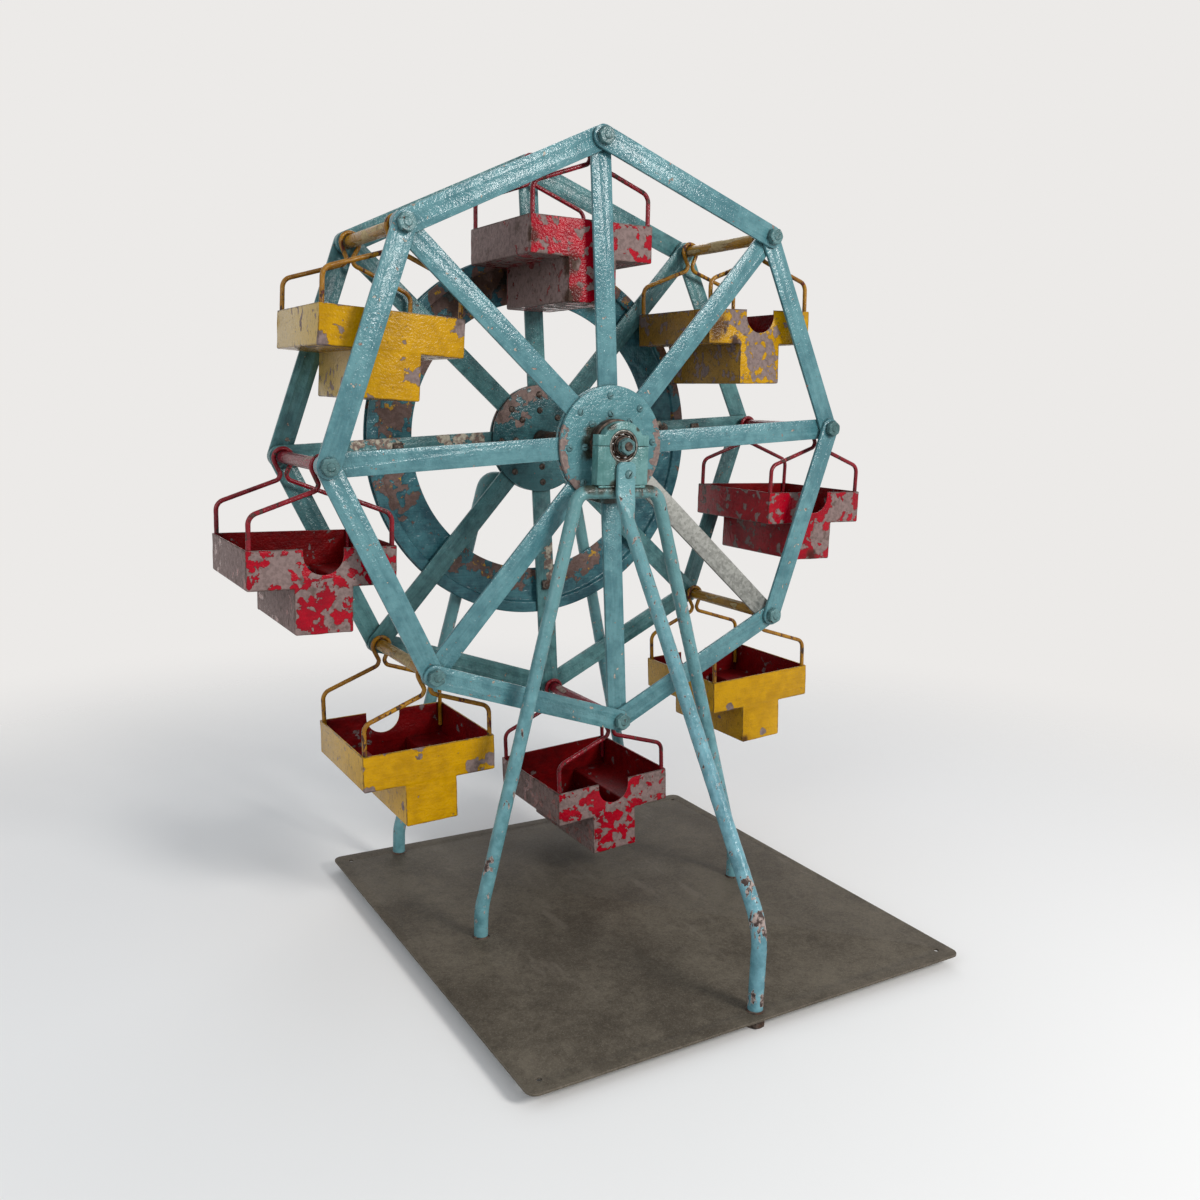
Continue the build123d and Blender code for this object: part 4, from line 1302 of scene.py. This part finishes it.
# %% Base plate
def sheet_paint(name):
    material, at = new_finish(name)
    broad = speckle(at, 70.0, 5.0, 0.6)
    cloud = speckle(at, 11.0, 6.0, 0.6)
    fine = speckle(at, 1.1, 3.0, 0.6)
    grain = speckle(at, 2.2, 4.0, 0.65)
    tone = broad * 0.45 + cloud * 0.25 + grain * 0.3
    colour = mix(step(tone, 0.36, 0.66), rgb("#3f382f"), rgb("#645c50"))
    colour = mix(step(fine, 0.55, 0.8) * 0.5, colour, rgb("#8a8175"))
    rubbed = step(speckle(stretched(at, 1.0, 0.3, 1.0), 24.0, 7.0, 0.62), 0.58, 0.7) * 0.35
    colour = mix(rubbed, colour, rgb("#736a5f"))
    colour = mix(step(speckle(at, 5.0, 6.0, 0.7), 0.66, 0.74) * 0.5, colour, rgb("#2a221d"))
    edge = step(nooks(at, 1.0, inside=True) + fine * 0.3, 0.3, 0.6)
    colour = mix(edge * 0.6, colour, rgb("#8f8578"))
    # darkening round the feet and wherever the plate is shut in: grime and painted shade
    darkening = step(nooks(at, 7.0) + cloud * 0.4, 0.4, 0.9) * 0.6
    colour = mix(darkening, colour, rgb("#241d18"))
    rough = 0.55 + cloud * 0.25 - rubbed * 0.1
    close_finish(at, colour, rough, grain * (0.14 * MM) + fine * (0.04 * MM), shine=0.2)
    return material


base_finish = sheet_paint("base_finish")
PLATE_CORNER_R = 8.0
CORNER_HOLE_INSET = 14.0
CORNER_HOLE_R = 2.25
plate_low, plate_high = low("base_plate"), high("base_plate")
plate_corners = [(plate_low.x, plate_low.y), (plate_high.x, plate_low.y),
                 (plate_high.x, plate_high.y), (plate_low.x, plate_high.y)]
plate_outline = eased(plate_corners, PLATE_CORNER_R, closed=True, step=10)
hole_xs = (plate_low.x + CORNER_HOLE_INSET, plate_high.x - CORNER_HOLE_INSET)
hole_ys = (plate_low.y + CORNER_HOLE_INSET, plate_high.y - CORNER_HOLE_INSET)
corner_holes = [circle(x, y, CORNER_HOLE_R, 24) for x in hole_xs for y in hole_ys]
plate = cut(plate_outline, 0, plate_high.z - plate_low.z, corner_holes)
lay_flat = Matrix(((1, 0, 0, 0), (0, 0, 1, 0), (0, 1, 0, plate_low.z), (0, 0, 0, 1)))
piece("plate", plate.moved(lay_flat).mesh("plate"), "stand", "base_sheet", base_finish, "base_plate")

# %% Foot nuts, studs and collars
FOOT_NUT_ACROSS = 14.0
STUD_D = 8.0
STUD_DROP = 1.0
COLLAR = [(5.0, 0.0), (7.4, 0.0), (7.1, 0.3), (6.5, 0.6), (6.1, 1.1), (5.0, 1.2)]
foot_places = [(x, y) for y in (FRONT_FOOT_Y, REAR_FOOT_Y) for x in (-foot_half, foot_half)]
foot_places.append((BRACE_X, BRACE_FOOT_Y))
stand_up = Matrix.Rotation(math.pi / 2, 4, "X")
foot_nut = nut(FOOT_NUT_ACROSS, plate_low.z, STUD_D).moved(stand_up)
stud = thread(STUD_D, 0, plate_low.z + 0.5, COARSE_PITCH).moved(stand_up)
collar = turned(COLLAR, 40).moved(stand_up)
for name, shape, z, nodes in (("feet", foot_nut, 0, ["foot_nuts"]), ("foot_studs", stud, STUD_DROP, []),
                              ("foot_collars", collar, PLATE_TOP, [])):
    five = joined(shape.moved(shift(x, y, z)) for x, y in foot_places)
    piece(name, five.mesh(name), "stand", "dark_steel", dark_steel, *nodes)

# %% [markdown]
# ## Gondolas
#
# A gondola is one folded sheet, which makes the two seats, the footwell and the sides, between two
# T-shaped end plates, one of them with a round notch. Each hangs by two bent wires, whose loops
# ride on the cross tube. The insides are all dark red, also in the yellow gondolas, so the faces
# that look inwards get a second finish. No two are worn alike, and each has its own list of bare
# places, given across and down from its cross tube.

# %% Gondola sizes
TRAY_HALF = 59.2
TRAY_HEIGHT = 31.0
WELL_HALF = 23.2
WELL_HEIGHT = 36.7
TRAY_DROP = 63.3
WELL_DROP = TRAY_DROP + TRAY_HEIGHT
SHEET = 1.2
NOTCH_R = 16.0
NOTCH_DEPTH = 21.0
LEANS = [1.0, 2.6, 0.0, 3.6, 3.8, 2.2, 0.0, -2.1]  # degrees each gondola hangs off level
NOTCH_AT_FRONT = (2, 3, 5, 7)
GONDOLA_Y = low("gondola_3_end_plates").y
GONDOLA_END_Y = high("gondola_3_end_plates").y


def hung(k):
    """From a gondola drawn about its cross tube to its place on the wheel."""
    spot = on_wheel(WHEEL_R, node_angle(k), 0)
    return shift(*spot) @ turn(LEANS[k - 1])


print("a gondola is", 2 * TRAY_HALF, "mm wide and hangs", WELL_DROP + WELL_HEIGHT, "mm down")


# %% Sheet cut by hand
def hand_cut(outline, closed, seed, stray=0.45, every=5.0):
    """The line with a point every few millimetres, each let in towards the middle by noise."""
    line = []
    ends = outline[1:] + outline[:1] if closed else outline[1:]
    for here, there in zip(outline, ends):
        parts = max(1, round((there - here).length / every))
        line += [here.lerp(there, i / parts) for i in range(parts)]
    line += [] if closed else outline[-1:]
    middle = Vector((0, -WELL_DROP))
    for point in line:
        let_in = abs(noise.noise(Vector((point.x * 0.05, point.y * 0.05, seed * 7.3)))) * 2.0
        point += (middle - point).normalized() * stray * min(let_in, 1.0)
    return line


straight = [Vector((-TRAY_HALF, -TRAY_DROP)), Vector((TRAY_HALF, -TRAY_DROP))]
print("a tray's side cut by hand has", len(hand_cut(straight, False, 1)), "points")


# %% Sheet pieces
def tub_shape(seed):
    half, well = TRAY_HALF - SHEET / 2, WELL_HALF - SHEET / 2
    seat, floor = -WELL_DROP + SHEET / 2, -WELL_DROP - WELL_HEIGHT + SHEET / 2
    fold = [(-half, -TRAY_DROP), (-half, seat), (-well, seat), (-well, floor),
            (well, floor), (well, seat), (half, seat), (half, -TRAY_DROP)]
    line = hand_cut(eased(fold, 1.0, step=22.5), False, seed)
    sides = []
    for sign in (1, -1):
        side = []
        for i, here in enumerate(line):
            into = (here - line[max(i - 1, 0)]).normalized() if i else (line[1] - here).normalized()
            out = (line[i + 1] - here).normalized() if i < len(line) - 1 else into
            left = Vector((-into.y - out.y, into.x + out.x)) / (1 + into.dot(out))
            side.append(here + left * sign * SHEET / 2)
        sides.append(side)
    length = GONDOLA_END_Y - GONDOLA_Y - 2 * SHEET
    return cut(sides[0] + sides[1][::-1], GONDOLA_Y + SHEET, length, ease=0.25)


def end_plate(y, notched, seed):
    half, well = TRAY_HALF, WELL_HALF
    rim = []
    if notched:
        lift = NOTCH_R - NOTCH_DEPTH
        edge = math.sqrt(NOTCH_R**2 - lift**2) if lift > 0 else NOTCH_R
        scoop = [Vector(polar(NOTCH_R, a)) + Vector((0, lift - TRAY_DROP)) for a in range(0, -181, -9)]
        rim = [Vector((edge, -TRAY_DROP))] + scoop + [Vector((-edge, -TRAY_DROP))]
    left = [(-half, -TRAY_DROP), (-half, -WELL_DROP), (-well, -WELL_DROP),
            (-well, -WELL_DROP - WELL_HEIGHT)]
    rounds = [0.8, 1.6, 1.2, 1.6]
    corners = left + [(-x, z) for x, z in reversed(left)]
    outline = eased(corners, rounds + rounds[::-1], closed=True, step=22.5)
    return cut(hand_cut(outline, False, seed) + rim, y, SHEET, ease=0.3)


def end_plates(k):
    """Both ends of a gondola, of which one has the notch."""
    front_notch = k in NOTCH_AT_FRONT
    front = end_plate(GONDOLA_Y, front_notch, k)
    return front + end_plate(GONDOLA_END_Y - SHEET, not front_notch, k + 10)


print("a tub has", len(tub_shape(1).faces), "faces")
print("a pair of end plates has", len(end_plates(1).faces), "faces")

# %% Hanger line
WIRE_D = 4.0
LOOP_R = 8.0
LOOP_DROP = 0.7
NECK_HALF = 2.4
NECK_LENGTH = 5.0
NECK_LEAN = 25.0
ARM_SLOPE = 20.0
ARM_BEND_R = 9.0
LEG_IN_TRAY = 22.0
HANGER_INSET = SHEET + WIRE_D / 2


def hanger_line(y):
    """Half a loop, in to the neck, out along the arm and down; then the other half mirrored."""
    hanger_half = TRAY_HALF - HANGER_INSET
    loop = [polar(LOOP_R, a) for a in range(80, -26, -15)]
    right = [Vector((x, 0, z - LOOP_DROP)) for x, z in loop]
    side = right[-1]
    lean = math.radians(NECK_LEAN)
    neck_z = side.z - (side.x - NECK_HALF) / math.tan(lean)
    flare = math.radians((90 - ARM_SLOPE - NECK_LEAN) / 2)
    neck = Vector((NECK_HALF, 0, neck_z))
    arm = neck + Vector((NECK_LENGTH * math.sin(flare), 0, -NECK_LENGTH * math.cos(flare)))
    fall = (hanger_half - arm.x) * math.tan(math.radians(ARM_SLOPE))
    corner = Vector((hanger_half, 0, arm.z - fall))
    right += [neck, arm, corner, Vector((hanger_half, 0, -TRAY_DROP - LEG_IN_TRAY))]
    bends = [0.0] * (len(right) - 4) + [3.0, 5.0, ARM_BEND_R, 0.0]
    left = [Vector((-p.x, 0, p.z)) for p in reversed(right)]
    line = [p + Vector((0, y, 0)) for p in left + right]
    return line, bends[::-1] + bends


hanger_lines = [hanger_line(GONDOLA_Y + HANGER_INSET), hanger_line(GONDOLA_END_Y - HANGER_INSET)]
print("a hanger's line has", len(hanger_lines[0][0]), "points")

# %% How near a place is to a folded edge
def fold_distance(drawn):
    """Metres from the nearest edge of a gondola's sheet, from where a point was first drawn."""
    x, y, z = (drawn.node("ShaderNodeSeparateXYZ", None, {0: drawn}, i) for i in range(3))
    middle_y, half_y = (GONDOLA_Y + GONDOLA_END_Y) / 2, (GONDOLA_END_Y - GONDOLA_Y) / 2
    nearest = None
    for half_x, bottom in ((TRAY_HALF, WELL_DROP), (WELL_HALF, WELL_DROP + WELL_HEIGHT)):
        middle_z, half_z = -(TRAY_DROP + bottom) / 2, (bottom - TRAY_DROP) / 2
        spans = ((x, 0, half_x), (y, middle_y, half_y), (z, middle_z, half_z))
        a, b, c = (value.math("ABSOLUTE", value - middle * MM) - half * MM
                   for value, middle, half in spans)
        most, least = a.math("MAXIMUM", a, b), a.math("MINIMUM", a, b)
        second = least.math("MAXIMUM", least, c.math("MINIMUM", most, c))
        outside = step(c.math("MAXIMUM", most, c), 0.4 * MM, 0.6 * MM)
        inwards = -1.0 * (outside + second)
        nearest = inwards if nearest is None else nearest.math("MAXIMUM", nearest, inwards)
    return nearest


print("the sheet's upright folds are", TRAY_HALF, "and", WELL_HALF, "mm from the middle")


# %% Finishes of the gondolas
RED = dict(paint="#a9001c", shade="#8a0018", primer="#86716d", under="#75625e")
YELLOW = dict(paint="#c79400", shade="#ad7e00", primer="#86736e", under="#75645f")
tray_inside = brushed_paint("tray_inside", "#780509", "#560306", "#7d6a69", "#6a5553", hold=0.66,
                            chip_size=10.0, grime_and_shade=0.35, gloss=0.35, shine=0.15)
WIRES = dict(chip_size=4.0, brushed="upright", lumps=0.2, lump_size=2.0, grime_and_shade=0.5)
red_wire = brushed_paint("red_wire", "#8a1422", "#5e0c17", "#33221d", "#4a332b", hold=0.62, **WIRES)
yellow_wire = brushed_paint("yellow_wire", "#a87616", "#7d500f", "#3b2a1e", "#5c1d18", hold=0.60,
                            **WIRES)

# how well each gondola's paint has held; what its left side has lost, how faded it is and to what
# colour, the shaded brown being painted shade; its bare places and its sooty places, which are soot
# and painted shade, as (across, down) and size
GREY, BEIGE, SHADED_BROWN = "#93867d", "#c4a869", "#4f433b"
WEAR = {
    1: (0.56, (0.2, 0.5, SHADED_BROWN), [((38, -74), 26), ((30, -92), 22), ((8, -118), 20)],
        [((-20, -128), 18), ((-59, -80), 14), ((-22, -100), 18)]),
    2: (0.62, (0.05, 0.5, SHADED_BROWN), [((-12, -78), 36), ((0, -98), 30), ((8, -114), 22), ((-22, -70), 20)],
        [((-50, -80), 22), ((-30, -92), 10)]),
    3: (0.56, (-0.03, 0.2, SHADED_BROWN), [((34, -80), 28), ((14, -112), 24)], [((0, -128), 14)]),
    4: (0.70, (0.0, 0.1, BEIGE), [((-38, -92), 10), ((4, -124), 8)], [((-20, -128), 8)]),
    5: (0.52, (0.1, 0.6, GREY), [((42, -78), 30), ((-30, -86), 12)], []),
    6: (0.69, (0.02, 0.25, BEIGE), [((-8, -67), 11), ((42, -88), 15), ((56, -84), 11),
                                    ((-54, -92), 8)], []),
    7: (0.50, (0.13, 0.6, GREY), [((-30, -72), 24), ((44, -90), 18), ((-40, -80), 14)], []),
    8: (0.67, (0.05, 0.75, BEIGE), [((16, -112), 13), ((57, -70), 12), ((-56, -91), 10)], []),
}


def gondola_finish(k):
    hold, side, spots, soot_and_shade = WEAR[k]
    bare, sooty_and_shaded = ([(hung(k) @ Vector((x, GONDOLA_Y, z)), size) for (x, z), size in places]
                   for places in (spots, soot_and_shade))
    return brushed_paint(f"gondola_{k}_paint", **(RED if k % 2 else YELLOW), hold=hold, bare=bare,
                         sooty_and_shaded=sooty_and_shaded, chip_size=10.0, gloss=0.18, side=side, folds=True, shine=0.18)


print("gondola", min(WEAR, key=lambda k: WEAR[k][0]), "has kept the least paint")


# %% Hanging them all
LOOK_AHEAD = 1.5  # millimetres from a face to where it looks


def inside_finish(mesh, k, finish):
    """Gives the faces that look into the tray or the footwell a second finish."""
    mesh.materials.append(finish)
    back = hung(k).inverted()
    for face in mesh.polygons:
        here = back @ (face.center / MM)
        ahead = here + back.to_3x3() @ face.normal * LOOK_AHEAD
        in_tray = abs(ahead.x) < TRAY_HALF - SHEET and -WELL_DROP < ahead.z < -TRAY_DROP
        in_well = (abs(ahead.x) < WELL_HALF - SHEET
                   and -WELL_DROP - WELL_HEIGHT < ahead.z < -WELL_DROP + SHEET)
        between = GONDOLA_Y + SHEET * 0.5 < ahead.y < GONDOLA_END_Y - SHEET * 0.5
        if between and (in_tray or in_well):
            face.material_index = 1


for k in range(1, NODE_COUNT + 1):
    body, slot = f"gondola_{k}", "red_paint" if k % 2 else "yellow_paint"
    outside = gondola_finish(k)
    for part, shape in (("tub", tub_shape(k)), ("end_plates", end_plates(k))):
        name = f"{body}_{part}_sheet"
        made = piece(name, shape.moved(hung(k)).mesh(name), body, slot, outside, f"{body}_{part}")
        inside_finish(made.data, k, tray_inside)
    wire = red_wire if k % 2 else yellow_wire
    lines = [([hung(k) @ point for point in line], radii) for line, radii in hanger_lines]
    wires = bent_rods(lines, WIRE_D, wire, 14, 1.4, 0.25, 4.0)
    piece(f"{body}_wires", wires, body, slot, None, f"{body}_hangers", sharp=60)

# %% [markdown]
# ## Camera
#
# The camera was found from the photograph: the sixteen wheel nodes, the plate's corners and the feet
# fix where it stood. Its axes are right, up and backwards; the picture is square.

# %% Camera
yaw, pitch, roll = 0.5461, 0.1772, 0.0356
ahead = Vector((math.sin(yaw) * math.cos(pitch), math.cos(yaw) * math.cos(pitch), -math.sin(pitch)))
flat_right = Vector((math.cos(yaw), -math.sin(yaw), 0.0))
flat_up = flat_right.cross(ahead)
right = flat_right * math.cos(roll) + flat_up * math.sin(roll)
up = flat_up * math.cos(roll) - flat_right * math.sin(roll)
camera = bpy.data.objects.new("camera", bpy.data.cameras.new("camera"))
scene.collection.objects.link(camera)
camera.matrix_world = Matrix((right, up, -ahead)).transposed().to_4x4()
camera.location = (-0.4937, -0.7660, 0.4536)
SENSOR = 36.0
FOCAL_SHARE = 1077.4 / 1200.0  # the focal length over the picture's width, both in pixels
camera.data.sensor_width = SENSOR
camera.data.lens = SENSOR * FOCAL_SHARE
scene.camera = camera
print("the lens is", round(camera.data.lens, 1), "mm on a", SENSOR, "mm sensor")

# %% [markdown]
# ## Floor and light
#
# The floor is a pale disc that fades out at its edge, so there is no horizon. A window lamp in front
# on the right gives the paint its sparkle, a weaker and bluer one fills from the left, one lights
# the back, and the sky does the rest. Together they light a surface to about the colour that is
# written for it. The camera, and every ray that a surface mirrors or lets through, sees one even
# pale backdrop in place of the sky that lights the toy.

# %% Floor
FLOOR_R = 3.0
floor_mesh = bpy.data.meshes.new("floor")
floor_work = bmesh.new()
bmesh.ops.create_circle(floor_work, cap_ends=True, segments=96, radius=FLOOR_R)
floor_work.to_mesh(floor_mesh)
floor_work.free()
floor = bpy.data.objects.new("floor", floor_mesh)
scene.collection.objects.link(floor)
floor_finish, at = new_finish("floor_finish")
away = at.node("ShaderNodeVectorMath", {"operation": "LENGTH"}, {0: at}, "Value")
FADE_FROM, FADE_TO = 0.42, 1.25  # metres from the middle
fade = step(away, FADE_FROM, FADE_TO)
pale = at.node("ShaderNodeBsdfDiffuse", None, {"Color": rgb("#f2f0ee")})
gone = at.node("ShaderNodeBsdfTransparent")
blend = at.node("ShaderNodeMixShader", None, {0: fade, 1: pale, 2: gone})
at.node("ShaderNodeOutputMaterial", None, {"Surface": blend})
floor_mesh.materials.append(floor_finish)
print("the floor is gone", FADE_TO, "m from the middle")

# %% Sky and lamps
world = bpy.data.worlds.new("studio")
world.use_nodes = True
world.node_tree.nodes.clear()
sky = Link(world.node_tree)
seen, mirrored, through = (sky.node("ShaderNodeLightPath", out=f"Is {kind} Ray")
                           for kind in ("Camera", "Glossy", "Transmission"))
backdrop = sky.node("ShaderNodeBackground", None, {"Color": rgb("#eceae8"), "Strength": 1.0})
light = sky.node("ShaderNodeBackground", None, {"Color": rgb("#eff4fa"), "Strength": 0.5})
choice = sky.node("ShaderNodeMixShader", None, {0: seen + mirrored + through, 1: light, 2: backdrop})
sky.node("ShaderNodeOutputWorld", None, {"Surface": choice})
scene.world = world


AIM = Vector((0, 0.1, 0.35))  # where every lamp points, in metres
LAMPS = (("window", (0.62, -1.62, 1.22), 0.5, 25.0, (1.0, 0.99, 0.97)),
         ("fill", (-1.5, -0.8, 1.1), 1.0, 8.0, (0.88, 0.95, 1.0)),
         ("behind", (0.9, 1.5, 1.6), 1.2, 7.0, (0.95, 0.97, 1.0)))


def soft_lamp(name, place, size, watts, colour):
    data = bpy.data.lights.new(name, "AREA")
    data.size = size
    data.energy = watts
    data.color = colour
    lamp = bpy.data.objects.new(name, data)
    scene.collection.objects.link(lamp)
    lamp.location = place
    lamp.rotation_euler = (AIM - Vector(place)).to_track_quat("-Z", "Y").to_euler()


for lamp in LAMPS:
    soft_lamp(*lamp)
scene.view_settings.view_transform = "Standard"
print("lit by the sky and", len(LAMPS), "lamps")
